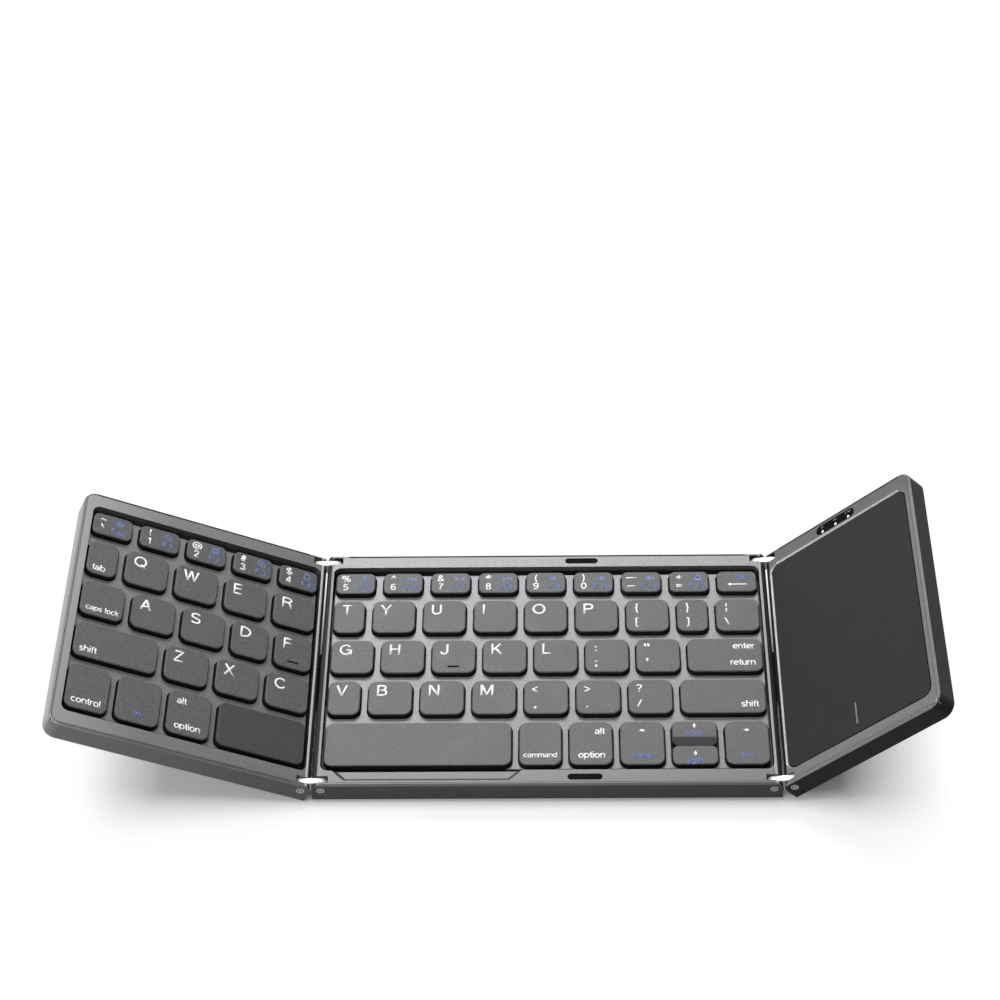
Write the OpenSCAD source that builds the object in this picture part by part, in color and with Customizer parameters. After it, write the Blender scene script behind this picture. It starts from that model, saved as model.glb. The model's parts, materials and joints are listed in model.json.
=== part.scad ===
// Folding keyboard of three sections: keys on the centre and the left wing, a touchpad on the right wing.
// Each wing hangs on two double-pivot link plates, so that it folds flat over the centre.
// Millimetres, +Z up, +Y to the back. The origin is the middle of the centre section's underside.

/* [Sections] */
// Width of the centre section, hinge end to hinge end
centre_w = 152; // [148:1:160]
// Width of the left wing, from its hinge end to its free end
left_w = 87.8; // [84:0.2:88]
// Width of the right wing, from its hinge end to its free end
right_w = 63.8; // [60:0.2:64]
// Depth of all three sections, front to back
depth = 98; // [96:1:104]
// Thickness of each section, without its feet
case_t = 8.6; // [8.4:0.1:9.6]
// Radius of the free corners in plan
corner_r = 4.5; // [3:0.5:7]
// Bevel along the bottom edges
bottom_bevel = 1.0; // [0.6:0.1:1.4]
// Bevel along the top edges
top_bevel = 0.6; // [0.3:0.1:0.8]
// Bevel at the bottom of each hinge end
hinge_end_bevel = 0.8; // [0.7:0.1:1]

/* [Casing] */
// Thickness of the casing's floor
floor_t = 1.2; // [1:0.1:1.5]
// Width of the casing's edge round the top frame
rim_w = 1.0; // [0.8:0.1:1.2]
// Parting gap between the casing's edge and the top frame
parting = 0.15; // [0.1:0.05:0.25]
// Thickness of the casing's end wall beside a hinge
hinge_wall = 1.6; // [1.4:0.1:1.8]
// Thickness of the top frame
frame_t = 2.2; // [2:0.1:2.3]

/* [Hinges] */
// Distance of each hinge axis from the end and from the top of its section
axis_in = 3.0; // [2.8:0.1:3.1]
// Distance between the two axes of a link plate
link_len = 6.5; // [6.4:0.1:7]
// Thickness of a link plate
link_t = 2.0; // [1.6:0.1:2.2]
// Radius of a link plate's ends
link_r = 2.1; // [1.9:0.1:2.2]
// Distance from the front or back face to a link plate
link_inset = 1.6; // [1.5:0.1:1.8]
// Gap between a link plate and its slot
slot_gap = 0.2; // [0.15:0.05:0.3]
// Radius of a pivot screw's shank
pivot_r = 0.7; // [0.6:0.05:0.75]
// Running clearance between a shank and a link plate, on the radius
pivot_fit = 0.05; // [0.03:0.01:0.08]
// Radius of a pivot screw's head
head_r = 1.3; // [1.1:0.1:1.4]
// Depth of a pivot screw's head
head_t = 0.7; // [0.5:0.1:0.8]
// Angle of the left link plates above level
left_link_angle = 0; // [0:1:30]
// Angle of the left wing above level
left_wing_angle = 24.5; // [0:0.5:60]
// Angle of the right link plates above level
right_link_angle = 7; // [0:1:30]
// Angle of the right wing above level
right_wing_angle = 44; // [0:1:60]

/* [Keys] */
// Depth of a letter key, front to back. The rows share what the section's depth leaves in these proportions.
key_d = 14.0; // [13.6:0.1:14.2]
// Depth of a number key
number_key_d = 9.1; // [8.6:0.1:9.4]
// Depth of the space bar and the keys beside it
space_key_d = 17.3; // [16:0.1:18]
// Gap between two rows of keys
row_gap = 3.4; // [3.2:0.1:3.6]
// Distance from the front face to the front row of keys
keys_front_in = 8.0; // [7.6:0.1:8.4]
// Distance from the back face to the number row
keys_back_in = 8.0; // [7.6:0.1:8.4]
// Distance from a hinge end to the nearest key
keys_hinge_in = 3.6; // [3.6:0.1:4]
// Distance from the left wing's free end to the nearest key
keys_free_in = 4.2; // [4:0.1:4.6]
// Corner radius of the letter keys
key_r = 2.8; // [2:0.1:3.2]
// Corner radius of the number keys
number_key_r = 2.2; // [1.6:0.1:2.6]
// Depth of the key tops below the top of the casing
key_drop = 0.25; // [0.15:0.05:0.4]
// Height of a key cap
cap_h = 3.15; // [2.9:0.05:3.3]
// Thickness of a key cap's top
cap_top = 1.0; // [0.8:0.1:1.2]
// Thickness of a key cap's side
cap_wall = 0.9; // [0.7:0.1:1]
// Bevel round a key's top
key_bevel = 0.3; // [0.2:0.05:0.5]
// Travel of a key
key_travel = 1.2; // [0.8:0.1:1.3]
// Gap between a key and the lattice round it
key_gap = 0.4; // [0.3:0.05:0.6]
// Gap between the up key and the down key
arrow_gap = 0.4; // [0.3:0.1:0.8]
// Depth of the up key, front to back
up_key_d = 9.3; // [8.6:0.1:9.6]
// Length of the slope at the up key's front
up_key_slope = 3.0; // [2:0.5:4]
// Length of the bar that marks the two home keys
home_bar = 4.0; // [3:0.5:5]
// Radius of a rubber dome's foot
dome_r = 2.6; // [2.2:0.1:3]

/* [Key deck] */
// Distance from the casing's front face to the front of the key opening
well_front_in = 5.9; // [5.6:0.1:6.2]
// Distance from the casing's back face to the back of the key opening
well_back_in = 5.7; // [5.6:0.1:6.2]
// Distance from a hinge end to the side of the key opening
well_hinge_in = 2.6; // [2.6:0.1:2.8]
// Distance from the left wing's free end to the side of the key opening
well_free_in = 3.5; // [3.2:0.1:3.8]
// Corner radius of the key opening
well_r = 2.6; // [2:0.1:3]
// Reach of the lattice's ribs past the outer keys
rib_reach = 0.3; // [0.1:0.05:0.3]
// Margin of the key board round the outer keys
board_edge = 0.75; // [0.5:0.05:0.85]
// Thickness of the key board under the lattice
key_board_t = 0.6; // [0.4:0.1:0.8]
// Height of the key board above the casing's underside
key_board_z = 3.0; // [2.8:0.1:3.1]
// Depth of the thumb scoop in front of the space bar
scoop_h = 1.0; // [0.6:0.1:1.4]
// Distance from each end of the space bar to the end of the scoop's front edge
scoop_in = 4.5; // [3:0.5:8]
// Reach of the scoop in front of the key opening
scoop_d = 3.2; // [2.5:0.1:3.6]
// Length of the slope from the scoop's edge down to its floor
scoop_slope_l = 1.7; // [1:0.1:2.2]

/* [Touchpad] */
// Distance from the hinge end to the touchpad
pad_hinge_in = 3.5; // [3.5:0.1:4]
// Distance from the free end to the touchpad
pad_free_in = 3.2; // [3.2:0.1:4]
// Distance from the back face to the touchpad
pad_back_in = 7.0; // [6.8:0.1:8]
// Distance from the front face to the touchpad
pad_front_in = 5.6; // [5.4:0.1:6.5]
// Corner radius of the touchpad
pad_r = 3.1; // [2.5:0.1:4]
// Thickness of the touchpad's plate
pad_t = 1.2; // [1:0.1:1.4]
// Depth of the touchpad's face below the top of the casing
pad_drop = 0.3; // [0.2:0.1:0.5]
// Gap round the touchpad
pad_gap = 0.35; // [0.25:0.05:0.5]
// Bevel on the frame round the touchpad
pad_frame_bevel = 0.5; // [0.2:0.1:0.6]
// Reach of the casing's side walls under the touchpad's edge
pad_ledge = 0.8; // [0.5:0.1:0.9]
// Thickness of the touchpad's sensor board
sensor_t = 0.6; // [0.5:0.1:0.8]
// Margin from the touchpad's edge to the sensor board's edge
sensor_in = 1.0; // [0.8:0.1:2]

/* [Fittings] */
// Length of an indicator window or magnet pill's straight and round outline
window_l = 16.3; // [14:0.1:18]
// Width of the indicator window
window_w = 3.7; // [3:0.1:3.8]
// Distance from the hinge end to the middle of the indicator window
window_u = 32.15; // [30:0.05:34]
// Distance from the back face to the middle of the indicator window
window_v_in = 3.75; // [3.5:0.05:3.9]
// Spacing of the three indicator lamps
lamp_pitch = 5.55; // [4.5:0.05:6]
// Radius of an indicator lamp
lamp_r = 0.5; // [0.4:0.05:0.6]
// Length of a closing magnet
magnet_l = 11.2; // [9:0.1:13]
// Width of a closing magnet
magnet_w = 2.3; // [1.8:0.1:2.5]
// Height of a closing magnet
magnet_t = 1.2; // [0.8:0.1:1.6]
// Place of the magnets along the centre section, from its middle
magnet_x = 12.3; // [8:0.1:16]
// Distance from the front or back face to the middle of a magnet
magnet_v_in = 3.1; // [2.9:0.1:3.3]
// Depth of the window and the magnets below the top face
inlay_drop = 0.1; // [0.05:0.05:0.2]
// Gap round the window and the magnets
inlay_gap = 0.05; // [0.03:0.01:0.1]
// Place of the charging socket from the hinge end
socket_u = 17.7; // [14:0.1:22]
// Height of the charging socket's middle above the underside
socket_z = 4.0; // [3.8:0.1:4.2]
// Width of the socket's metal shell
socket_w = 9.0; // [8.9:0.05:9.1]
// Height of the socket's metal shell
socket_h = 3.2; // [3.1:0.05:3.3]
// Length of the socket's metal shell
socket_l = 7.3; // [6.5:0.1:8]
// Thickness of the shell's wall
socket_wall = 0.3; // [0.2:0.05:0.35]
// Recess of the shell behind the back face
socket_in = 0.6; // [0.3:0.1:0.8]
// Gap between the shell and its opening in the casing
socket_gap = 0.35; // [0.2:0.05:0.4]
// Distance from the free end to the middle of the power switch's slot
switch_free_in = 20; // [18:0.1:23]
// Length of the power switch's slot
switch_slot_l = 6.6; // [5.5:0.1:7]
// Height of the power switch's slot
switch_slot_h = 2.8; // [2.4:0.1:3]
// Length of the power switch's slider
slider_l = 3.0; // [2.5:0.1:3.2]
// Travel of the power switch's slider
slider_travel = 2.6; // [2:0.1:2.6]
// Distance that the slider stands in behind the back face
slider_in = 0.4; // [0.2:0.1:0.6]

/* [Electronics] */
// Thickness of the main board
main_board_t = 0.8; // [0.6:0.1:1]
// Depth of the main board, front to back
main_board_d = 30; // [26:1:34]
// Length of the battery, front to back
battery_d = 38; // [30:1:42]
// Width of the battery
battery_w = 26; // [20:1:30]
// Thickness of the battery
battery_t = 3.2; // [2.6:0.1:3.4]
// Width of the ribbon cable that crosses each hinge
ribbon_w = 20; // [12:1:24]
// Thickness of the ribbon cable with its sleeve
ribbon_t = 0.5; // [0.3:0.1:0.6]

/* [Feet] */
// Length of a rubber foot
foot_l = 10.6; // [8:0.1:12]
// Depth of a rubber foot, front to back
foot_d = 5.0; // [4:0.5:7]
// Height of a rubber foot below the underside
foot_h = 0.6; // [0.4:0.1:1]
// Depth of the pocket that holds a foot
foot_pocket = 0.4; // [0.3:0.1:0.6]
// Gap between a foot and its pocket
foot_gap = 0.15; // [0.1:0.05:0.25]
// Distance from a section's end to the middle of its nearest foot
foot_in = 9.3; // [8:0.1:12]
// Distance from the front or back face to the middle of a foot
foot_v_in = 8.0; // [7:0.5:12]

/* [Hidden] */
$fn = 48;
eps = 0.01;
far = 200;

case_colour = "#8b8b8e";
key_colour = "#4c4c4f";
dark = "#26272a";
silver = "#dcdde0";

// Heights shared by all sections
axis_z = case_t - axis_in;
frame_z = case_t - frame_t;
lattice_z = key_board_z + key_board_t;
lattice_t = frame_z - lattice_z;
key_top = case_t - key_drop;
cap_z = key_top - cap_h;

// Front and back faces, and the link plates' inner and outer faces
front = -depth / 2;
back = depth / 2;
link_out = back - link_inset;
link_mid = link_out - link_t / 2;
link_slot_u = axis_in + link_r + 2 * slot_gap;

// The keys' rows, from the back: number row, three letter rows and the space bar's row
row_depths = [number_key_d, key_d, key_d, key_d, space_key_d];
rows_d = depth - keys_back_in - keys_front_in;
row_share = (rows_d - 4 * row_gap) / total(row_depths, 5);
row_back = [for (i = [0:4]) back - keys_back_in - total(row_depths, i) * row_share - i * row_gap];
row_front = [for (i = [0:4]) row_back[i] - row_depths[i] * row_share];

// Key widths of each row from its first key on. The keys share what the gaps leave in these proportions.
centre_rows = [
    [13.5, 13.5, 13.5, 13.5, 13.5, 13.5, 13.5, 13.5, 13.6],
    [10.5, 14.5, 14.5, 14.5, 14.5, 14.5, 14.5, 10.5, 14.7],
    [14.3, 14.6, 14.6, 14.6, 14.6, 14.6, 14.6, 25.1],
    [10.7, 14.6, 14.6, 14.6, 14.6, 14.6, 14.6, 28.1],
    [61, 13.8, 14.1, 14.4, 14.8, 14.3]
];
centre_gaps = [2.9, 2.76, 2.54, 2.63, 2.48];
// The left wing's rows run from the hinge to the free end
left_rows = [
    [13.8, 13.8, 13.8, 13.8, 13.6],
    [14.75, 14.75, 14.75, 14.75, 10.3],
    [13, 12.7, 14.7, 14.8, 14.6],
    [14.8, 14.8, 14.8, 27.9],
    [29.8, 14.4, 14.5, 14]
];
left_gaps = [2.8, 2.67, 2.55, 2.57, 2.43];
ARROW_KEY = 4;
J_KEY = 2;
F_KEY = 0;

// The centre section is drawn from its left end, so its own u runs from 0 to centre_w
centre_keys = [keys_hinge_in, centre_w - keys_hinge_in];
left_keys = [keys_hinge_in, left_w - keys_free_in];
centre_well = [well_hinge_in, centre_w - well_hinge_in];
left_well = [well_hinge_in, left_w - well_free_in];
pad_span = [pad_hinge_in, right_w - pad_free_in];

function total(list, upto) = upto <= 0 ? 0 : list[upto - 1] + total(list, upto - 1);

// First and last edge of key i in a row
function key_span(widths, gap, span, i) =
    let (
        count = len(widths),
        share = (span[1] - span[0] - gap * (count - 1)) / total(widths, count),
        start = span[0] + total(widths, i) * share + gap * i
    )
    [start, start + widths[i] * share];

function centre_key(row, i) = key_span(centre_rows[row], centre_gaps[row], centre_keys, i);
function left_key(row, i) = key_span(left_rows[row], left_gaps[row], left_keys, i);
function row_r(row) = row == 0 ? number_key_r : key_r;

// Placing the sections and the link plates

module place_centre() {
    translate([-centre_w / 2, 0, 0]) children();
}

// Link plate coordinates run from the centre section's axis (x = 0) outwards, with z up
module place_left_link() {
    translate([-centre_w / 2 + axis_in, 0, axis_z])
        rotate([0, left_link_angle, 0])
            mirror([1, 0, 0]) children();
}

module place_right_link() {
    translate([centre_w / 2 - axis_in, 0, axis_z])
        rotate([0, -right_link_angle, 0]) children();
}

module place_left() {
    translate([
        -centre_w / 2 + axis_in - link_len * cos(left_link_angle), 0,
        axis_z + link_len * sin(left_link_angle)
    ])
        rotate([0, left_wing_angle, 0])
            mirror([1, 0, 0])
                translate([-axis_in, 0, -axis_z]) children();
}

module place_right() {
    translate([
        centre_w / 2 - axis_in + link_len * cos(right_link_angle), 0,
        axis_z + link_len * sin(right_link_angle)
    ])
        rotate([0, -right_wing_angle, 0])
            translate([-axis_in, 0, -axis_z]) children();
}

// Shapes

// A flat outline with round corners, between two edges each way
module outline(u, v, r) {
    translate([u[0] + r, v[0]]) square([u[1] - u[0] - 2 * r, v[1] - v[0]]);
    translate([u[0], v[0] + r]) square([u[1] - u[0], v[1] - v[0] - 2 * r]);
    for (x = [u[0] + r, u[1] - r], y = [v[0] + r, v[1] - r])
        translate([x, y]) circle(r = r);
}

module plate(u, v, r, z0, z1) {
    translate([0, 0, z0]) linear_extrude(z1 - z0) outline(u, v, r);
}

// A pill-shaped plate that lies along u
module pill(length, width, height) {
    linear_extrude(height)
        outline([-length / 2, length / 2], [-width / 2, width / 2], width / 2 - eps / 10);
}

// A profile in (v, z) that runs along u from a to b
module along_u(a, b) {
    translate([a, 0, 0]) rotate([90, 0, 90]) linear_extrude(b - a) children();
}

// A profile in (u, z) that runs along v from a to b
module along_v(a, b) {
    translate([0, b, 0]) rotate([90, 0, 0]) linear_extrude(b - a) children();
}

// A block with round corners in plan and bevels round its top and bottom
module bevelled_block(u, v, r, z0, z1, top, bottom) {
    side = [[0, z0], [r - bottom, z0], [r, z0 + bottom], [r, z1 - top], [r - top, z1], [0, z1]];
    for (x = [u[0] + r, u[1] - r], y = [v[0] + r, v[1] - r])
        translate([x, y, 0]) rotate_extrude() polygon(side);
    along_u(u[0] + r, u[1] - r) bevelled_profile(v, z0, z1, top, bottom);
    along_v(v[0] + r, v[1] - r) bevelled_profile(u, z0, z1, top, bottom);
}

module bevelled_profile(v, z0, z1, top, bottom) {
    polygon([
        [v[0] + bottom, z0], [v[1] - bottom, z0], [v[1], z0 + bottom], [v[1], z1 - top],
        [v[1] - top, z1], [v[0] + top, z1], [v[0], z1 - top], [v[0], z0 + bottom]
    ]);
}

// The hinge end in (u, z): its top rolls round the axis, so that link and neighbour stay clear
module hinge_end_profile(w) {
    translate([axis_in, axis_z]) circle(r = axis_in);
    translate([axis_in, 0]) square([w - axis_in, case_t]);
    polygon([
        [hinge_end_bevel, 0], [axis_in, 0], [axis_in, axis_z], [0, axis_z], [0, hinge_end_bevel]
    ]);
}

// Whole outer form of a wing, solid: bevelled edges, round free corners and the rolled hinge end
module wing_form(w) {
    intersection() {
        union() {
            bevelled_block([w / 2, w], [front, back], corner_r, 0, case_t, top_bevel, bottom_bevel);
            along_u(0, w / 2 + corner_r)
                bevelled_profile([front, back], 0, case_t, top_bevel, bottom_bevel);
        }
        along_v(front, back) hinge_end_profile(w);
    }
}

module centre_form() {
    intersection() {
        along_u(0, centre_w) bevelled_profile([front, back], 0, case_t, top_bevel, bottom_bevel);
        along_v(front, back)
            intersection() {
                hinge_end_profile(centre_w);
                translate([centre_w, 0]) mirror([1, 0]) hinge_end_profile(centre_w);
            }
    }
}

// Slots for the two link plates at a hinge end, open to the end and the top
module link_slots() {
    for (side = [-1, 1])
        translate([-far, side * link_mid - link_t / 2 - slot_gap, axis_z - link_r - slot_gap])
            cube([far + link_slot_u, link_t + 2 * slot_gap, far]);
}

// The same slots as the top frame has them: open as far as the casing's rim
module frame_slots() {
    link_slots();
    for (side = [-1, 1])
        translate([-far, side * back - back + (side < 0 ? 0 : link_mid), axis_z])
            cube([far + link_slot_u, back - link_mid + 1, far]);
}

// Holes for the pivot screws at a hinge end, with the recesses of their heads
module pivot_holes() {
    for (side = [-1, 1])
        mirror([0, side < 0 ? 1 : 0, 0]) {
            translate([axis_in, back - head_t, axis_z]) rotate([-90, 0, 0]) cylinder(r = head_r, h = far);
            translate([axis_in, pivot_end, axis_z]) rotate([-90, 0, 0]) cylinder(r = pivot_r, h = far);
        }
}

// Where a pivot screw ends, inside the casing's wall behind the link plate
pivot_end = link_out - link_t - slot_gap - 1.1;

module pivot_screws() {
    color(silver)
        for (side = [-1, 1])
            mirror([0, side < 0 ? 1 : 0, 0])
                translate([axis_in, 0, axis_z])
                    rotate([-90, 0, 0])
                        difference() {
                            union() {
                                translate([0, 0, pivot_end])
                                    cylinder(r = pivot_r, h = back - pivot_end - head_t);
                                translate([0, 0, back - head_t])
                                    cylinder(r = head_r, h = head_t - screw_sunk);
                            }
                            for (turn = [0, 90])
                                rotate([0, 0, turn])
                                    translate([-cross_l / 2, -cross_w / 2, back - screw_sunk - cross_h])
                                        cube([cross_l, cross_w, far]);
                        }
}
screw_sunk = 0.1;
cross_l = 1.7;
cross_w = 0.4;
cross_h = 0.35;

// Slot through a hinge end for the ribbon cable
module ribbon_slot() {
    translate([-far, -ribbon_w / 2 - slot_gap, ribbon_z - ribbon_t / 2 - slot_gap])
        cube([far + ribbon_reach + slot_gap, ribbon_w + 2 * slot_gap, ribbon_t + 2 * slot_gap]);
}
ribbon_z = 2.1;
ribbon_reach = 4.5;

// Pockets under a section for its feet
module foot_places(w, far_in) {
    for (u = [foot_in, w - far_in], v = [front + foot_v_in, back - foot_v_in])
        translate([u, v, 0]) children();
}

module foot_pockets(w, far_in) {
    foot_places(w, far_in)
        translate([0, 0, -eps])
            linear_extrude(foot_pocket + eps)
                outline(
                    [-foot_l / 2 - foot_gap, foot_l / 2 + foot_gap],
                    [-foot_d / 2 - foot_gap, foot_d / 2 + foot_gap], foot_r + foot_gap
                );
}
foot_r = 1.5;

module feet(w, far_in) {
    color(dark)
        foot_places(w, far_in)
            bevelled_block(
                [-foot_l / 2, foot_l / 2], [-foot_d / 2, foot_d / 2], foot_r,
                -foot_h, foot_pocket, 0, foot_bevel
            );
}
foot_bevel = 0.2;

// Inner edges of the casing's rim, where the top frame drops in
rim_v = [front + rim_w, back - rim_w];
frame_v = [rim_v[0] + parting, rim_v[1] - parting];
well_v = [front + well_front_in, back - well_back_in];
keys_v = [front + keys_front_in, back - keys_back_in];

// A casing open at the top: a seat for the frame, and the cavity below the keys or the touchpad
module casing(rim_u, rim_r, cavity_u, cavity_v, cavity_r) {
    difference() {
        children();
        plate(rim_u, rim_v, rim_r, frame_z, case_t + 1);
        plate(cavity_u, cavity_v, cavity_r, floor_t, case_t);
    }
}

// Posts that carry the key board, in rows between the casing's floor and the board
module key_board_posts(span, count) {
    step = (span[1] - span[0] - 2 * post_in) / (count - 1);
    for (i = [0:count - 1], row = [0:3])
        translate([span[0] + post_in + i * step, (row_front[row] + row_back[row + 1]) / 2, floor_t - eps])
            cylinder(r = post_r, h = key_board_z - floor_t + eps);
}
post_in = 8;
post_r = 1.6;

function grown(span, by) = [span[0] - by, span[1] + by];

// Centre section

centre_rim_u = [hinge_wall, centre_w - hinge_wall];

module both_hinge_ends() {
    children();
    translate([centre_w, 0, 0]) mirror([1, 0, 0]) children();
}

module centre_case() {
    color(case_colour)
        place_centre()
            difference() {
                union() {
                    casing(
                        centre_rim_u, hinge_corner_r, grown(centre_well, cavity_side),
                        grown(well_v, cavity_side), well_r
                    ) centre_form();
                    key_board_posts(centre_keys, 8);
                }
                both_hinge_ends() {
                    link_slots();
                    pivot_holes();
                    ribbon_slot();
                }
                foot_pockets(centre_w, foot_in);
            }
}
hinge_corner_r = 1.0;
cavity_side = 0.3;

// The ring that frames the keys, with the thumb scoop and the magnets' pockets
module centre_frame() {
    color(case_colour)
        place_centre()
            intersection() {
                difference() {
                    plate(grown(centre_rim_u, -parting), frame_v, hinge_corner_r, frame_z, case_t);
                    plate(centre_well, well_v, well_r, 0, far);
                    both_hinge_ends() frame_slots();
                    scoop();
                    magnet_places()
                        translate([0, 0, -inlay_drop])
                            pill(magnet_l + 2 * inlay_gap, magnet_w + 2 * inlay_gap, far);
                }
                centre_form();
            }
}

// A wall of the scoop: it slopes down from its edge at v = 0 towards the back, and the cut lies above it
module scoop_slope() {
    along_u(-far, far)
        polygon([
            [0, case_t], [0, far], [far, far], [far, case_t - scoop_h], [scoop_slope_l, case_t - scoop_h]
        ]);
}

// The scoop's edge runs along the space bar and slants out to the key opening at both ends
module scoop() {
    edge_u = grown(centre_key(4, 0), -scoop_in);
    edge_v = well_v[0] - scoop_d;
    intersection() {
        translate([0, edge_v, 0]) scoop_slope();
        translate([edge_u[0], edge_v, 0]) rotate([0, 0, -45]) scoop_slope();
        translate([edge_u[1], edge_v, 0]) rotate([0, 0, 45]) scoop_slope();
        translate([0, edge_v, 0]) cube([centre_w, scoop_d + 1, far]);
    }
}

module magnet_places() {
    for (v = [front + magnet_v_in, back - magnet_v_in])
        translate([centre_w / 2 + magnet_x, v, case_t - magnet_t]) children();
}

module centre_magnets() {
    color(dark)
        place_centre()
            magnet_places()
                translate([0, 0, -inlay_drop]) pill(magnet_l, magnet_w, magnet_t);
}

// The lattice between the keys: ribs round each key, which end free at the outer keys
module lattice(keys, rows, gaps) {
    difference() {
        plate(grown(keys, rib_reach), grown(keys_v, rib_reach), key_r + key_gap, lattice_z, frame_z);
        for (row = [0:4], i = [0:len(rows[row]) - 1])
            key_hole(key_span(rows[row], gaps[row], keys, i), row);
    }
}

module key_hole(u, row) {
    plate(
        grown(u, key_gap), [row_front[row] - key_gap, row_back[row] + key_gap],
        row_r(row) + key_gap, 0, far
    );
}

module centre_lattice() {
    color(case_colour) place_centre() lattice(centre_keys, centre_rows, centre_gaps);
}

// The board under the lattice, which carries the contacts of the keys
module key_board(keys) {
    plate(grown(keys, board_edge), grown(keys_v, board_edge), key_r, key_board_z, lattice_z);
}

module centre_key_board() {
    color(dark) place_centre() key_board(centre_keys);
}

// A rubber dome that holds its key up
module dome(u, v) {
    h = key_top - cap_top - dome_gap - lattice_z;
    translate([u, v, lattice_z])
        rotate_extrude()
            polygon([
                [0, 0], [dome_r, 0], [dome_r, dome_foot], [dome_r * 0.55, h - dome_foot],
                [dome_r * 0.45, h], [0, h]
            ]);
}
dome_foot = 0.4;
dome_gap = 0.05;

module domes(keys, rows, gaps) {
    color("#cfd2cf")
        for (row = [0:4], i = [0:len(rows[row]) - 1])
            if (!(rows == centre_rows && row == 4 && i == ARROW_KEY))
                let (u = key_span(rows[row], gaps[row], keys, i))
                dome((u[0] + u[1]) / 2, (row_front[row] + row_back[row]) / 2);
}

module centre_domes() {
    place_centre() {
        domes(centre_keys, centre_rows, centre_gaps);
        color("#cfd2cf")
            let (u = centre_key(4, ARROW_KEY))
            for (v = [up_key_v, down_key_v])
                dome((u[0] + u[1]) / 2, (v[0] + v[1]) / 2);
    }
}

module centre_feet() {
    place_centre() feet(centre_w, foot_in);
}

module centre_pivot_screws() {
    place_centre() both_hinge_ends() pivot_screws();
}

// Keys

// A hollow cap with bevelled top
module cap(u, v, r) {
    difference() {
        bevelled_block(u, v, r, cap_z, key_top, key_bevel, 0);
        plate(grown(u, -cap_wall), grown(v, -cap_wall), max(r - cap_wall, 0.4), cap_z - 1, key_top - cap_top);
    }
}

module row_cap(u, row) {
    cap(u, [row_front[row], row_back[row]], row_r(row));
}

module centre_caps(row, from, to) {
    color(key_colour)
        place_centre()
            for (i = [from:to]) row_cap(centre_key(row, i), row);
}

module left_caps(row, from, to) {
    color(key_colour)
        place_left()
            for (i = [from:to]) row_cap(left_key(row, i), row);
}

// The low bar on the two home keys
module home_mark(u, v_front) {
    translate([(u[0] + u[1]) / 2, v_front + home_mark_v, key_top - eps])
        pill(home_bar, home_bar_w, home_bar_h + eps);
}
home_mark_v = 2.6;
home_bar_w = 0.5;
home_bar_h = 0.15;

module centre_number_keys() {
    centre_caps(0, 0, len(centre_rows[0]) - 2);
}

module key_backspace() {
    centre_caps(0, len(centre_rows[0]) - 1, len(centre_rows[0]) - 1);
}

module centre_upper_keys() {
    centre_caps(1, 0, len(centre_rows[1]) - 1);
}

module centre_home_keys() {
    centre_caps(2, 0, len(centre_rows[2]) - 2);
    color(key_colour) place_centre() home_mark(centre_key(2, J_KEY), row_front[2]);
}

module key_enter() {
    centre_caps(2, len(centre_rows[2]) - 1, len(centre_rows[2]) - 1);
}

module centre_lower_keys() {
    centre_caps(3, 0, len(centre_rows[3]) - 2);
}

module key_shift_right() {
    centre_caps(3, len(centre_rows[3]) - 1, len(centre_rows[3]) - 1);
}

module key_space_right() {
    centre_caps(4, 0, 0);
}

module centre_modifier_keys() {
    centre_caps(4, 1, 2);
}

module key_left() {
    centre_caps(4, 3, 3);
}

module key_right() {
    centre_caps(4, 5, 5);
}

up_key_v = [row_back[4] - up_key_d * row_share, row_back[4]];
down_key_v = [row_front[4], up_key_v[0] - arrow_gap];

// The up key's front slopes down to the down key
module key_up() {
    u = centre_key(4, ARROW_KEY);
    color(key_colour)
        place_centre()
            difference() {
                cap(u, up_key_v, number_key_r);
                along_u(0, centre_w)
                    polygon([
                        [up_key_v[0] - 1, key_top - up_key_fall - up_key_fall / up_key_slope],
                        [up_key_v[0] + up_key_slope, key_top], [up_key_v[0] - 1, key_top + 1]
                    ]);
            }
}
up_key_fall = 0.7;

module key_down() {
    color(key_colour) place_centre() cap(centre_key(4, ARROW_KEY), down_key_v, number_key_r);
}

module left_number_keys() {
    left_caps(0, 0, len(left_rows[0]) - 1);
}

module key_tab() {
    left_caps(1, len(left_rows[1]) - 1, len(left_rows[1]) - 1);
}

module left_upper_keys() {
    left_caps(1, 0, len(left_rows[1]) - 2);
}

module key_caps_lock() {
    left_caps(2, len(left_rows[2]) - 1, len(left_rows[2]) - 1);
}

module left_home_keys() {
    left_caps(2, 0, len(left_rows[2]) - 2);
    color(key_colour) place_left() home_mark(left_key(2, F_KEY), row_front[2]);
}

module key_shift_left() {
    left_caps(3, len(left_rows[3]) - 1, len(left_rows[3]) - 1);
}

module left_lower_keys() {
    left_caps(3, 0, len(left_rows[3]) - 2);
}

module left_modifier_keys() {
    left_caps(4, 1, len(left_rows[4]) - 1);
}

module key_space_left() {
    left_caps(4, 0, 0);
}

// Left wing

left_rim_u = [hinge_wall, left_w - rim_w];

module left_case() {
    color(case_colour)
        place_left()
            difference() {
                union() {
                    casing(
                        left_rim_u, hinge_corner_r, grown(left_well, cavity_side),
                        grown(well_v, cavity_side), well_r
                    ) wing_form(left_w);
                    key_board_posts(left_keys, 5);
                }
                link_slots();
                pivot_holes();
                ribbon_slot();
                foot_pockets(left_w, left_foot_far_in);
            }
}
left_foot_far_in = 10.6;

module left_frame() {
    color(case_colour)
        place_left()
            intersection() {
                difference() {
                    plate(grown(left_rim_u, -parting), frame_v, hinge_corner_r, frame_z, case_t);
                    plate(left_well, well_v, well_r, 0, far);
                    frame_slots();
                }
                wing_form(left_w);
            }
}

module left_lattice() {
    color(case_colour) place_left() lattice(left_keys, left_rows, left_gaps);
}

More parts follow.
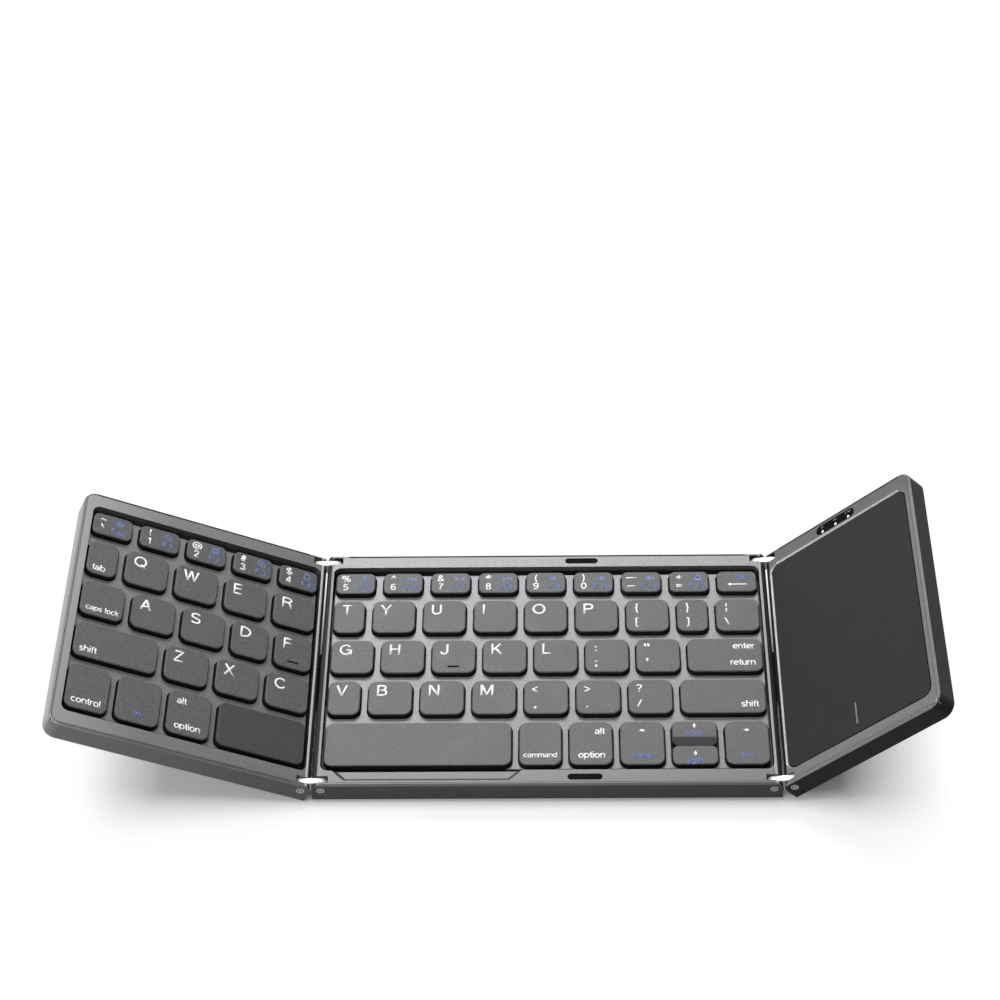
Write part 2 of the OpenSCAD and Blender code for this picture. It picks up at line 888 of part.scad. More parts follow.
module left_key_board() {
    color(dark) place_left() key_board(left_keys);
}

module left_domes() {
    place_left() domes(left_keys, left_rows, left_gaps);
}

module left_feet() {
    place_left() feet(left_w, left_foot_far_in);
}

module left_pivot_screws() {
    place_left() pivot_screws();
}

// Right wing

right_rim_u = [hinge_wall, right_w - rim_w];
pad_v = [front + pad_front_in, back - pad_back_in];
pad_top = case_t - pad_drop;
sensor_z = pad_top - pad_t - sensor_t;

module right_case() {
    color(case_colour)
        place_right()
            difference() {
                union() {
                    difference() {
                        casing(
                            right_rim_u, hinge_corner_r, grown(pad_span, -pad_ledge),
                            [front + pad_front_in, back - cavity_back_in], pad_r
                        ) wing_form(right_w);
                        board_bay();
                    }
                    main_board_posts();
                }
                link_slots();
                pivot_holes();
                ribbon_slot();
                foot_pockets(right_w, foot_in);
                socket_opening();
                switch_opening();
            }
}
cavity_back_in = 5.9;

// The bay under the back rim that holds the board's end, the socket and the switch
module board_bay() {
    plate(
        [board_u[0] - board_gap, board_u[1] + board_gap], [0, back - bay_wall], 1, floor_t, frame_z - bay_roof
    );
}
bay_wall = 2.0;
bay_roof = 0.6;

module right_frame() {
    color(case_colour)
        place_right()
            intersection() {
                difference() {
                    plate(grown(right_rim_u, -parting), frame_v, hinge_corner_r, frame_z, case_t);
                    bevelled_opening();
                    frame_slots();
                    window_place()
                        translate([0, 0, -inlay_drop])
                            pill(window_l + 2 * inlay_gap, window_w + 2 * inlay_gap, far);
                }
                wing_form(right_w);
            }
}

// The touchpad's opening, with a bevel round its top edge
module bevelled_opening() {
    u = grown(pad_span, pad_gap);
    v = grown(pad_v, pad_gap);
    r = pad_r + pad_gap;
    plate(u, v, r, 0, far);
    bevel_cut(u, v, r, pad_frame_bevel);
}

// What a bevel takes off round an opening's top edge
module bevel_cut(u, v, r, b) {
    for (x = [u[0] + r, u[1] - r], y = [v[0] + r, v[1] - r])
        translate([x, y, case_t - b]) cylinder(r1 = r, r2 = r + b + eps, h = b + eps);
    along_u(u[0] + r, u[1] - r) bevel_profile(v, b);
    along_v(v[0] + r, v[1] - r) bevel_profile(u, b);
}

module bevel_profile(v, b) {
    polygon([
        [v[0], case_t - b], [v[1], case_t - b], [v[1] + b + eps, case_t + eps], [v[0] - b - eps, case_t + eps]
    ]);
}

module touchpad() {
    color("#333336")
        place_right()
            bevelled_block(pad_span, pad_v, pad_r, pad_top - pad_t, pad_top, key_bevel / 2, 0);
}

module sensor_board() {
    color("darkgreen")
        place_right()
            plate(
                grown(pad_span, -sensor_in), grown(pad_v, -sensor_in), pad_r - sensor_in,
                sensor_z, sensor_z + sensor_t
            );
}

main_board_z = socket_z - socket_h / 2 - main_board_t;
board_gap = 0.5;
board_in = 7;
board_back = back - bay_wall - board_gap;
board_u = [board_in, right_w - board_in];
board_v = [board_back - main_board_d, board_back];

module main_board_posts() {
    for (u = grown(board_u, -post_r), v = grown(board_v, -post_r))
        translate([u, v, floor_t - eps]) cylinder(r = post_r, h = main_board_z - floor_t + eps);
}

module main_board() {
    color("darkgreen")
        place_right() plate(board_u, board_v, 1, main_board_z, main_board_z + main_board_t);
}

module battery() {
    color("#b9bcc2")
        place_right()
            bevelled_block(
                [right_w / 2 - battery_w / 2, right_w / 2 + battery_w / 2],
                [board_v[0] - battery_gap - battery_d, board_v[0] - battery_gap],
                1, floor_t, floor_t + battery_t, battery_bevel, 0
            );
}
battery_gap = 4;
battery_bevel = 0.4;

// The charging socket: a flat tube with round sides and a tongue inside
module socket_outline(by) {
    w = socket_w + 2 * by;
    h = socket_h + 2 * by;
    translate([socket_u, socket_z])
        outline([-w / 2, w / 2], [-h / 2, h / 2], h / 2 - eps);
}

module socket_opening() {
    along_v(back - bay_wall - eps, back + 1) socket_outline(socket_gap);
}

module socket_shell() {
    color(silver)
        place_right()
            difference() {
                along_v(back - socket_in - socket_l, back - socket_in) socket_outline(0);
                along_v(back - socket_in - socket_l + socket_back, back + 1) socket_outline(-socket_wall);
            }
}
socket_back = 0.8;

module socket_tongue() {
    color(dark)
        place_right()
            translate([
                socket_u - tongue_w / 2, back - socket_in - socket_l + socket_back, socket_z - tongue_t / 2
            ])
                cube([tongue_w, tongue_l, tongue_t]);
}
tongue_w = 6.7;
tongue_t = 0.7;
tongue_l = 5.4;

// The power switch: a body on the board and a slider that moves along the back face
switch_u = right_w - switch_free_in;

module switch_opening() {
    along_v(back - bay_wall - eps, back + 1)
        translate([switch_u, socket_z])
            outline(
                [-switch_slot_l / 2, switch_slot_l / 2], [-switch_slot_h / 2, switch_slot_h / 2],
                switch_slot_r
            );
}
switch_slot_r = 0.6;

module switch_body() {
    color(silver)
        place_right()
            difference() {
                translate([switch_u - switch_body_l / 2, switch_front, main_board_z + main_board_t])
                    cube([switch_body_l, switch_body_d, switch_body_h]);
                translate([switch_u - switch_slot_l / 2, stem_front - slider_gap, stem_z - slider_gap])
                    cube([switch_slot_l, far, slider_stem + 2 * slider_gap]);
            }
}
switch_body_l = 8.6;
switch_body_d = 3.4;
switch_body_h = 2.8;
switch_wall = 0.8;
switch_front = board_back - switch_body_d;
slider_stem = 1.2;
slider_gap = 0.2;
stem_front = switch_front + switch_wall + slider_gap;
stem_z = socket_z - slider_stem / 2;

// The slider rests at the hinge side of its slot
module switch_slider() {
    start = switch_u - slider_travel / 2;
    knob_front = board_back + slider_gap;
    color(dark)
        place_right() {
            translate([start - slider_l / 2, knob_front, socket_z - switch_slot_h / 2 + slider_gap])
                cube([slider_l, back - slider_in - knob_front, switch_slot_h - 2 * slider_gap]);
            translate([start - slider_l / 4, stem_front, stem_z])
                cube([slider_l / 2, knob_front - stem_front + eps, slider_stem]);
        }
}

module window_place() {
    translate([window_u, back - window_v_in, case_t - window_t]) children();
}
window_t = 1.0;

module indicator_window() {
    color("#141416")
        place_right()
            window_place()
                difference() {
                    translate([0, 0, -inlay_drop]) pill(window_l, window_w, window_t);
                    lamp_places() cylinder(r = lamp_r + inlay_gap, h = far, center = true);
                }
}

module lamp_places() {
    for (i = [-1:1])
        translate([i * lamp_pitch, lamp_v, 0]) children();
}
lamp_v = -0.95;

module indicator_lamps() {
    color("white")
        place_right()
            window_place()
                lamp_places()
                    translate([0, 0, -inlay_drop]) cylinder(r = lamp_r, h = window_t);
}

module right_feet() {
    place_right() feet(right_w, foot_in);
}

module right_pivot_screws() {
    place_right() pivot_screws();
}

// Hinges

module link_plate(side) {
    color(silver)
        translate([0, side * link_mid - link_t / 2, 0])
            along_v(0, link_t)
                difference() {
                    union() {
                        circle(r = link_r);
                        translate([link_len, 0]) circle(r = link_r);
                        translate([0, -link_r]) square([link_len, 2 * link_r]);
                    }
                    circle(r = pivot_r + pivot_fit);
                    translate([link_len, 0]) circle(r = pivot_r + pivot_fit);
                }
}

module left_link_front() {
    place_left_link() link_plate(-1);
}

module left_link_back() {
    place_left_link() link_plate(1);
}

module right_link_front() {
    place_right_link() link_plate(-1);
}

module right_link_back() {
    place_right_link() link_plate(1);
}

// A ribbon cable that leaves the centre level and enters the wing square to its end.
// Its straight ends lie ribbon_reach inside each section, and a smooth curve joins them.
module ribbon(link_angle, wing_angle) {
    aim = [cos(wing_angle), sin(wing_angle)];
    mouth = [
        link_len * cos(link_angle) + axis_drop * aim[1] - axis_in * aim[0] - axis_in,
        link_len * sin(link_angle) + axis_drop * (1 - aim[0]) - axis_in * aim[1]
    ];
    pull = norm(mouth) / 2;
    curve = [for (i = [0:ribbon_steps])
        bezier([0, 0], [pull, 0], mouth - pull * aim, mouth, i / ribbon_steps)];
    aims = [for (i = [0:ribbon_steps])
        bezier_aim([0, 0], [pull, 0], mouth - pull * aim, mouth, i / ribbon_steps)];
    side = [for (i = [0:ribbon_steps]) ribbon_t / 2 * [-aims[i][1], aims[i][0]]];
    ends = [[-ribbon_reach, 0], mouth + ribbon_reach * aim];
    turn = ribbon_t / 2 * [-aim[1], aim[0]];
    along_v(-ribbon_w / 2, ribbon_w / 2)
        polygon(concat(
            [ends[0] - [0, ribbon_t / 2]],
            [for (i = [0:ribbon_steps]) curve[i] - side[i]],
            [ends[1] - turn, ends[1] + turn],
            [for (i = [ribbon_steps:-1:0]) curve[i] + side[i]],
            [ends[0] + [0, ribbon_t / 2]]
        ));
}
ribbon_steps = 10;

function bezier(a, b, c, d, t) =
    pow(1 - t, 3) * a + 3 * t * pow(1 - t, 2) * b + 3 * t * t * (1 - t) * c + pow(t, 3) * d;

function bezier_aim(a, b, c, d, t) =
    let (slope = pow(1 - t, 2) * (b - a) + 2 * t * (1 - t) * (c - b) + t * t * (d - c))
    slope / norm(slope);
axis_drop = axis_z - ribbon_z;

module left_ribbon() {
    color(dark)
        translate([-centre_w / 2, 0, ribbon_z])
            mirror([1, 0, 0]) ribbon(left_link_angle, left_wing_angle);
}

module right_ribbon() {
    color(dark) translate([centre_w / 2, 0, ribbon_z]) ribbon(right_link_angle, right_wing_angle);
}

centre_case();
centre_frame();
centre_lattice();
centre_key_board();
centre_domes();
centre_feet();
centre_magnets();
centre_pivot_screws();
left_case();
left_frame();
left_lattice();
left_key_board();
left_domes();
left_feet();
left_pivot_screws();
right_case();
right_frame();
touchpad();
sensor_board();
main_board();
battery();
socket_shell();
socket_tongue();
switch_body();
switch_slider();
indicator_window();
indicator_lamps();
right_feet();
right_pivot_screws();
left_link_front();
left_link_back();
left_ribbon();
right_link_front();
right_link_back();
right_ribbon();
centre_number_keys();
key_backspace();
centre_upper_keys();
centre_home_keys();
key_enter();
centre_lower_keys();
key_shift_right();
key_space_right();
centre_modifier_keys();
key_left();
key_up();
key_down();
key_right();
left_number_keys();
key_tab();
left_upper_keys();
key_caps_lock();
left_home_keys();
key_shift_left();
left_lower_keys();
left_modifier_keys();
key_space_left();
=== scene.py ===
"""Folding keyboard: finishes, soft edges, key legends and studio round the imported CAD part.

Laid out as an add-on and run as a script. Every length is in metres, in the part's own frame.
A section's own frame has x along the section, y to the back and z out of its key side.
"""

import json
import math

import bmesh
import bpy
from bpy.props import FloatProperty, FloatVectorProperty, PointerProperty
from mathutils import Matrix, Vector

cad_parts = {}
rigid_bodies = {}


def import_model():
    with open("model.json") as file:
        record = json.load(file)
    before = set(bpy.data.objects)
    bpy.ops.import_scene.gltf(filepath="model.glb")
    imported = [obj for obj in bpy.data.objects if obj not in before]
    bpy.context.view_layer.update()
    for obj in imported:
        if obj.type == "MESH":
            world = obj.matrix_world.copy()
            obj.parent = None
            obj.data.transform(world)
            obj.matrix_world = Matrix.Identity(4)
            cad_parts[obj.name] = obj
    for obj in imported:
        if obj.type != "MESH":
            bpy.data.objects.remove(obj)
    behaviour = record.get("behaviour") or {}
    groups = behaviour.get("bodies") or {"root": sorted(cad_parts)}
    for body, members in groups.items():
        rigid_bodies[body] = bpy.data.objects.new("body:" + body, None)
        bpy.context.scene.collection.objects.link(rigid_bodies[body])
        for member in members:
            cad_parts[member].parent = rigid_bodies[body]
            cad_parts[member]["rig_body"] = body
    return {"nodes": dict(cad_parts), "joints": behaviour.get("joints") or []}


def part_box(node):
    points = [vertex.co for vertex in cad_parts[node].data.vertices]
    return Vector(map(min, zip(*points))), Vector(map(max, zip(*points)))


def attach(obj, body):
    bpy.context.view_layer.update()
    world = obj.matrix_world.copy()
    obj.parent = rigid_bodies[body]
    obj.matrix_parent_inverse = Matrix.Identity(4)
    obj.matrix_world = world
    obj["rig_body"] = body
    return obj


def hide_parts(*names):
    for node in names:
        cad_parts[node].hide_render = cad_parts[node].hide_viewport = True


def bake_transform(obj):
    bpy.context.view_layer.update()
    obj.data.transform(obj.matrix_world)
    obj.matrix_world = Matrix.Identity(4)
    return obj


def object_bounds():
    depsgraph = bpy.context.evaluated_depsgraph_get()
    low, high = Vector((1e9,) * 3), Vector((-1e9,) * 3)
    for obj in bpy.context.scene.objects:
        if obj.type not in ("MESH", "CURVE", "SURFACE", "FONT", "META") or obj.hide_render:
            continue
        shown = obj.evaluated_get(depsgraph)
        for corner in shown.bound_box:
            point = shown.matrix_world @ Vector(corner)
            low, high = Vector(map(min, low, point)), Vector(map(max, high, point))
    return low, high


bl_info = {
    "name": "Folding keyboard",
    "version": (1, 0, 0),
    "blender": (4, 5, 0),
    "location": "View3D > Sidebar > Keyboard",
    "description": "Dresses the packed folding keyboard and sets up its studio",
    "category": "Object",
}

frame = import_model()
CAD_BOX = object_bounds()

MM = 0.001

# The photograph's camera, fitted to the corners, edges and screws of the open keyboard
CAMERA_PLACE = Vector((3.41, -502.84, 640.02)) * MM
CAMERA_AZIMUTH = 0.03405
CAMERA_ELEVATION = 0.82956
CAMERA_ROLL = -0.03236
CAMERA_FOCUS = 2408.2
PICTURE_WIDTH = 1000
SENSOR_WIDTH = 36.0


def linear(value):
    """One channel of a display colour, from 0 to 255, as light."""
    share = value / 255
    return share / 12.92 if share <= 0.04045 else ((share + 0.055) / 1.055) ** 2.4


def rgb(red, green, blue):
    """A display colour as Blender keeps it."""
    return tuple(linear(channel) for channel in (red, green, blue))


def colour(name, description, *channels):
    return FloatVectorProperty(
        name=name, description=description, default=rgb(*channels), subtype="COLOR", min=0, max=1)


def length(name, description, millimetres):
    return FloatProperty(
        name=name, description=description, default=millimetres * MM, subtype="DISTANCE", unit="LENGTH",
        min=0, precision=5)


def number(name, description, default, highest=100.0):
    return FloatProperty(name=name, description=description, default=default, min=0, max=highest)


class KeyboardColours(bpy.types.PropertyGroup):
    """Colours of the finishes"""

    metal: colour("Casing", "Blasted and anodised aluminium of the casings, frames and lattices", 106, 106, 108)
    keys: colour("Keys", "Key caps", 68, 68, 70)
    touchpad: colour("Touchpad", "Touchpad plate", 36, 36, 38)
    pad_line: colour("Touchpad line", "Line between the two halves of the touchpad", 104, 104, 107)
    first_ink: colour("First legends", "Letters, figures and words", 254, 254, 255)
    second_ink: colour("Second legends", "Legends reached with the function key", 105, 122, 180)
    chrome: colour("Link plates", "Polished hinge plates and screws", 226, 227, 230)
    # Painted shadow: the dark line along the casings' upper edge
    rim_line: colour("Rim line", "Dark line round the casings' upper edge", 20, 20, 22)
    rubber: colour("Rubber", "Feet", 34, 34, 36)
    domes: colour("Domes", "Silicone domes under the keys", 150, 150, 148)
    black: colour("Black plastic", "Window, switch, cables and magnets", 14, 14, 15)
    board: colour("Key boards", "Stamped boards under the keys", 58, 60, 64)
    circuit: colour("Circuit board", "Solder mask of the circuit boards", 24, 70, 46)
    foil: colour("Battery", "Battery foil", 176, 178, 182)
    lamp: colour("Lamps", "Indicator lamps", 214, 220, 228)


class KeyboardSizes(bpy.types.PropertyGroup):
    """Sizes of the details that this script adds"""

    metal_edge: length("Metal edges", "Width of the broken edges on the aluminium", 0.12)
    cap_edge: length("Cap edges", "Width of the rounding on the key caps", 0.14)
    fine_edge: length("Fine edges", "Width of the rounding on the small parts", 0.07)
    ink: length("Ink", "Height of the printed legends above the cap", 0.02)
    letter: length("Letters", "Height of a capital on a letter key", 4.4)
    figure: length("Figures", "Height of a figure on the number row", 2.8)
    word: length("Words", "Height of a capital in a word", 2.6)
    small_word: length("Small words", "Height of a capital in a second legend", 2.3)
    margin: length("Margin", "From a cap's left edge to its legend", 2.7)
    # The next two widths are of the painted shadow line
    rim_line: length("Rim line", "Width of the dark line along the casings' back edge", 0.4)
    fine_rim_line: length("Fine rim line", "Width of the dark line round the rest of the left wing", 0.17)
    floor: length("Floor", "Side of the studio floor", 30000)


class KeyboardStudio(bpy.types.PropertyGroup):
    """Light of the studio"""

    back_lamp: number("Back lamp", "Power of the wide lamp behind, in watts", 12)
    high_lamp: number("High lamp", "Power of the lamp overhead on the left, in watts", 15)
    low_lamp: number("Low lamp", "Power of the low lamp in front on the left, in watts", 2.9)
    side_lamp: number("Side lamp", "Power of the lamp behind on the right, in watts", 0.3)
    front_lamp: number("Front lamp", "Power of the small lamp near the camera, in watts", 1.2)
    sky: number("Sky", "Strength of the light from all round", 0.2)
    backdrop: number("Backdrop", "Tone of the surroundings overhead, where 1 is white, as they are at the floor", 0.5, 1)


SETTINGS = {"colours": KeyboardColours, "sizes": KeyboardSizes, "studio": KeyboardStudio}


def settings(group):
    return getattr(bpy.context.scene, "folding_keyboard_" + group)


# Sections and bodies


def joint(name):
    return next(entry for entry in frame["joints"] if entry["name"] == name)


# A wing's hinge axis lies this far above its underside and in from its end
AXIS_UP = joint("left_link_fold")["pos_m"][2]
AXIS_IN = 3.0 * MM


def wing_frame(side, link_joint, wing_joint):
    """The frame of a wing at rest: its origin is on the casing's underside, at the hinge end."""
    tilt = -math.radians(joint(link_joint)["range_deg"][0] + joint(wing_joint)["range_deg"][0])
    axis = Vector(joint(wing_joint)["pos_m"])
    turn = Matrix.Rotation(-side * tilt, 4, "Y")
    return Matrix.Translation((axis.x, 0, axis.z)) @ turn @ Matrix.Translation((-side * AXIS_IN, 0, -AXIS_UP))


SECTIONS = {
    "centre": Matrix.Identity(4),
    "left_wing": wing_frame(-1, "left_link_fold", "left_wing_fold"),
    "right_wing": wing_frame(1, "right_link_fold", "right_wing_fold"),
}


def nearest_section(body):
    """The section that a body is, or that carries it."""
    while body not in SECTIONS:
        body = next(entry["parent"] for entry in frame["joints"] if entry["child"] == body)
    return body


def body_of(node):
    return frame["nodes"][node]["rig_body"]


def section_of(node):
    return SECTIONS[nearest_section(body_of(node))]


# Shader nodes


class Wire:
    """The output of a node, on which shader maths is written as an expression."""

    def __init__(self, paint, socket):
        self.paint = paint
        self.socket = socket

    def maths(self, operation, first, second):
        return self.paint.node("ShaderNodeMath", {"operation": operation}, {0: first, 1: second})

    def __add__(self, other):
        return self.maths("ADD", self, other)

    __radd__ = __add__

    def __sub__(self, other):
        return self.maths("SUBTRACT", self, other)

    def __rsub__(self, other):
        return self.maths("SUBTRACT", other, self)

    def __mul__(self, other):
        return self.maths("MULTIPLY", self, other)

    __rmul__ = __mul__

    def __truediv__(self, other):
        return self.maths("DIVIDE", self, other)

    def __rtruediv__(self, other):
        return self.maths("DIVIDE", other, self)

    def __pow__(self, other):
        return self.maths("POWER", self, other)


class Paint:
    """A material and the calls that build its node tree."""

    def __init__(self, name):
        self.material = bpy.data.materials.new(name)
        self.material.use_nodes = True
        self.take(self.material.node_tree)

    def take(self, tree):
        """Starts a node tree afresh."""
        self.tree = tree
        self.tree.nodes.clear()

    @classmethod
    def of_tree(cls, tree):
        paint = cls.__new__(cls)
        paint.take(tree)
        return paint

    def node(self, kind, settings=None, inputs=None, output=0):
        """Adds a node: its settings first, then the values or links of its sockets."""
        made = self.tree.nodes.new(kind)
        for name, value in (settings or {}).items():
            if name == "stops":
                self.set_stops(made.color_ramp, value)
            else:
                setattr(made, name, value)
        for name, value in (inputs or {}).items():
            if isinstance(value, Wire):
                self.tree.links.new(value.socket, made.inputs[name])
            else:
                made.inputs[name].default_value = value
        return Wire(self, made.outputs[output]) if made.outputs else made

    @staticmethod
    def set_stops(ramp, stops):
        while len(ramp.elements) < len(stops):
            ramp.elements.new(1)
        for element, (place, level) in zip(ramp.elements, stops):
            element.position = place
            element.color = (level, level, level, 1)

    def place(self, stretch=(1, 1, 1)):
        """Object coordinates, stretched for a grain that runs one way."""
        spot = self.node("ShaderNodeTexCoord", output="Object")
        return self.node("ShaderNodeMapping", {}, {"Vector": spot, "Scale": stretch})

    def noise(self, size, detail=2.0, stretch=(1, 1, 1)):
        """Soft noise from 0 to 1 whose spots are about as wide as size."""
        inputs = {"Vector": self.place(stretch), "Scale": 1 / size, "Detail": detail, "Roughness": 0.55}
        return self.node("ShaderNodeTexNoise", {"noise_dimensions": "3D"}, inputs)

    def cells(self, size):
        inputs = {"Vector": self.place(), "Scale": 1 / size}
        return self.node("ShaderNodeTexVoronoi", {"feature": "F1"}, inputs)

    def steps(self, value, *stops):
        return self.node("ShaderNodeValToRGB", {"stops": stops}, {"Fac": value})

    def mixed(self, first, second, share):
        """A blend of two colours."""
        inputs = {"Factor": share, "A": opaque(first), "B": opaque(second)}
        made = self.tree.nodes.new("ShaderNodeMix")
        made.data_type = "RGBA"
        by_name = {"Factor": made.inputs[0], "A": made.inputs[6], "B": made.inputs[7]}
        for name, value in inputs.items():
            if isinstance(value, Wire):
                self.tree.links.new(value.socket, by_name[name])
            else:
                by_name[name].default_value = value
        return Wire(self, made.outputs[2])

    def bump(self, height, depth, strength=1.0):
        inputs = {"Height": height, "Distance": depth, "Strength": strength}
        return self.node("ShaderNodeBump", {}, inputs, output="Normal")

    def edges(self, width):
        """1 on edges, where wear and a painted highlight go, 0 on faces."""
        rounded = self.node("ShaderNodeBevel", {"samples": 4}, {"Radius": width})
        plain = self.node("ShaderNodeNewGeometry", output="Normal")
        agree = self.node("ShaderNodeVectorMath", {"operation": "DOT_PRODUCT"}, {0: rounded, 1: plain}, output="Value")
        return self.steps(1 - agree, (0.01, 0), (0.16, 1))

    def finish(self, **inputs):
        """Closes the material with a Principled shader. Underscores in a socket's name stand for spaces."""
        named = {name.replace("_", " "): value for name, value in inputs.items()}
        shader = self.node("ShaderNodeBsdfPrincipled", {}, named)
        self.node("ShaderNodeOutputMaterial", {}, {"Surface": shader})
        return self.material


def opaque(colour_value):
    return colour_value if isinstance(colour_value, Wire) else (*colour_value, 1)


def shade(colour_value, by):
    """A colour made lighter or darker by a factor."""
    return tuple(min(channel * by, 1) for channel in colour_value)


# Finishes, each with its own colour, grain and wear; some also carry painted light and shade


def blasted_metal(name, level, metallic, gloss, roughness=0.27, fade=None):
    """Anodised aluminium with the fine, even grain of bead blasting, painted a little lighter along its edges for wear
    and for a highlight.

    Fade paints light or shade along an axis: it gives the axis, two places along it and how many times as light the
    metal is at the second.
    """
    tone = shade(settings("colours").metal, level)
    paint = Paint(name)
    grain = paint.noise(0.0006, 4.0)
    patches = paint.noise(0.018, 3.0)
    # Lighter edges: wear and a painted highlight
    wear_and_highlight = paint.edges(0.0002) * paint.steps(paint.noise(0.006, 4.0), (0.38, 0.1), (0.7, 0.45))
    ground = paint.mixed(shade(tone, 0.93), shade(tone, 1.07), patches)
    speckled = paint.mixed(ground, shade(tone, 1.5), paint.steps(grain, (0.46, 0), (0.66, 0.6)))
    colour_value = paint.mixed(speckled, shade(tone, 1.9), wear_and_highlight)
    # Painted light or shade, growing along the fade's axis
    if fade:
        axis, start, end, gain = fade
        spot = paint.node("ShaderNodeTexCoord", output="Object")
        across = paint.node("ShaderNodeSeparateXYZ", {}, {0: spot}, output=axis)
        share = paint.node(
            "ShaderNodeMapRange", {"clamp": True}, {"Value": across, "From Min": start, "From Max": end})
        colour_value = paint.mixed(colour_value, shade(tone, gain), share * 0.9)
    return paint.finish(
        Base_Color=colour_value,
        Metallic=metallic,
        Specular_IOR_Level=gloss,
        Roughness=roughness + patches * 0.06 + grain * 0.08 - wear_and_highlight * 0.05,
        Normal=paint.bump(grain, 0.00003, 0.5))


def moulded_plastic(name, tone, roughness, grain_size=0.0007, depth=0.00006, polish=0.05, gloss=0.5, speckle=1.6):
    """Moulded plastic with a spark-eroded grain, smoother where fingers have polished it, and painted lighter along its
    edges for wear and for a highlight.
    """
    paint = Paint(name)
    grain = paint.noise(grain_size, 4.0)
    patches = paint.noise(0.009, 3.0)
    polished = paint.steps(patches, (0.5, 0), (0.75, 1))
    ground = paint.mixed(shade(tone, 0.9), shade(tone, 1.1), patches)
    # Lighter edges: wear and a painted highlight
    rub_and_highlight = paint.edges(0.00025) * 0.35
    return paint.finish(
        Base_Color=paint.mixed(
            paint.mixed(ground, shade(tone, speckle), paint.steps(grain, (0.45, 0), (0.65, 0.6))),
            shade(tone, 1.7), rub_and_highlight),
        Roughness=roughness + grain * 0.08 - polished * polish,
        Specular_IOR_Level=gloss,
        Normal=paint.bump(grain, depth, 0.9))


def polished_metal(name, tone, roughness=0.16):
    """Plated steel with faint grinding lines."""
    paint = Paint(name)
    lines = paint.noise(0.0004, 2.0, (0.1, 1, 1))
    spots = paint.noise(0.004, 3.0)
    return paint.finish(
        Base_Color=paint.mixed(shade(tone, 0.92), tone, spots),
        Metallic=1.0,
        Roughness=roughness + lines * 0.08 + spots * 0.05,
        Normal=paint.bump(lines, 0.00001, 0.3))


def satin_metal(name, tone):
    """Pale brushed steel, which spreads what it reflects."""
    paint = Paint(name)
    lines = paint.noise(0.0004, 2.0, (0.1, 1, 1))
    return paint.finish(
        Base_Color=paint.mixed(shade(tone, 0.95), shade(tone, 1.1), lines),
        Metallic=0.3,
        Roughness=0.42 + lines * 0.08,
        Normal=paint.bump(lines, 0.00001, 0.2))


def printed_ink(name, tone):
    """Screen-printed ink, thin and slightly uneven."""
    paint = Paint(name)
    film = paint.noise(0.0003, 2.0)
    return paint.finish(
        Base_Color=paint.mixed(shade(tone, 0.9), tone, film),
        Roughness=0.5 + film * 0.1,
        Normal=paint.bump(film, 0.00001, 0.3))


def soft_rubber(name, tone, roughness=0.75):
    """Matt rubber with dust in its pores."""
    paint = Paint(name)
    pores = paint.cells(0.0005)
    dust = paint.noise(0.003, 4.0)
    return paint.finish(
        Base_Color=paint.mixed(tone, shade(tone, 1.8), paint.steps(dust, (0.5, 0), (0.8, 0.6))),
        Roughness=roughness + dust * 0.1,
        Normal=paint.bump(pores, 0.00004, 0.4))


def circuit_finish(name, tone):
    """Solder mask over copper tracks."""
    paint = Paint(name)
    tracks = paint.node(
        "ShaderNodeTexBrick", {"offset": 0.5},
        {"Vector": paint.place(), "Scale": 400, "Mortar Size": 0.12}, output="Fac")
    film = paint.noise(0.004, 3.0)
    return paint.finish(
        Base_Color=paint.mixed(shade(tone, 0.85), shade(tone, 1.5), tracks * film),
        Roughness=0.3 + film * 0.12,
        Normal=paint.bump(tracks, 0.00003, 0.5))


def dull_inlay_and_shadow_line(name, tone):
    """Black resin over the magnets and the lamps, which hardly shines; it also makes the painted shadow line along the
    casings' upper edge and the painted shade on the home keys' marks.
    """
    paint = Paint(name)
    haze = paint.noise(0.003, 3.0)
    return paint.finish(
        Base_Color=paint.mixed(tone, shade(tone, 1.4), haze),
        Roughness=0.5 + haze * 0.1,
        Specular_IOR_Level=0.04,
        Normal=paint.bump(haze, 0.00002, 0.2))


def lit_lamp(name, tone):
    """Frosted indicator lamp with a faint light of its own."""
    paint = Paint(name)
    frost = paint.noise(0.0002, 2.0)
    return paint.finish(
        Base_Color=paint.mixed(shade(tone, 0.85), tone, frost),
        Roughness=0.35 + frost * 0.1,
        Emission_Color=paint.mixed(shade(tone, 0.8), tone, frost),
        Emission_Strength=0.25)


def ribbon_finish(name, tone):
    """Flat cable whose conductors show as fine ridges along it."""
    paint = Paint(name)
    spot = paint.node("ShaderNodeTexCoord", output="Object")
    across = paint.node("ShaderNodeSeparateXYZ", {}, {0: spot}, output="Y")
    ridge = paint.node("ShaderNodeMath", {"operation": "SINE"}, {0: across * (2 * math.pi / 0.001)})
    scuffs = paint.noise(0.003, 4.0)
    return paint.finish(
        Base_Color=paint.mixed(tone, shade(tone, 2.0), (ridge * 0.5 + 0.5) * 0.4 + scuffs * 0.3),
        Roughness=0.5 + scuffs * 0.2,
        Normal=paint.bump(ridge, 0.00006, 0.6))


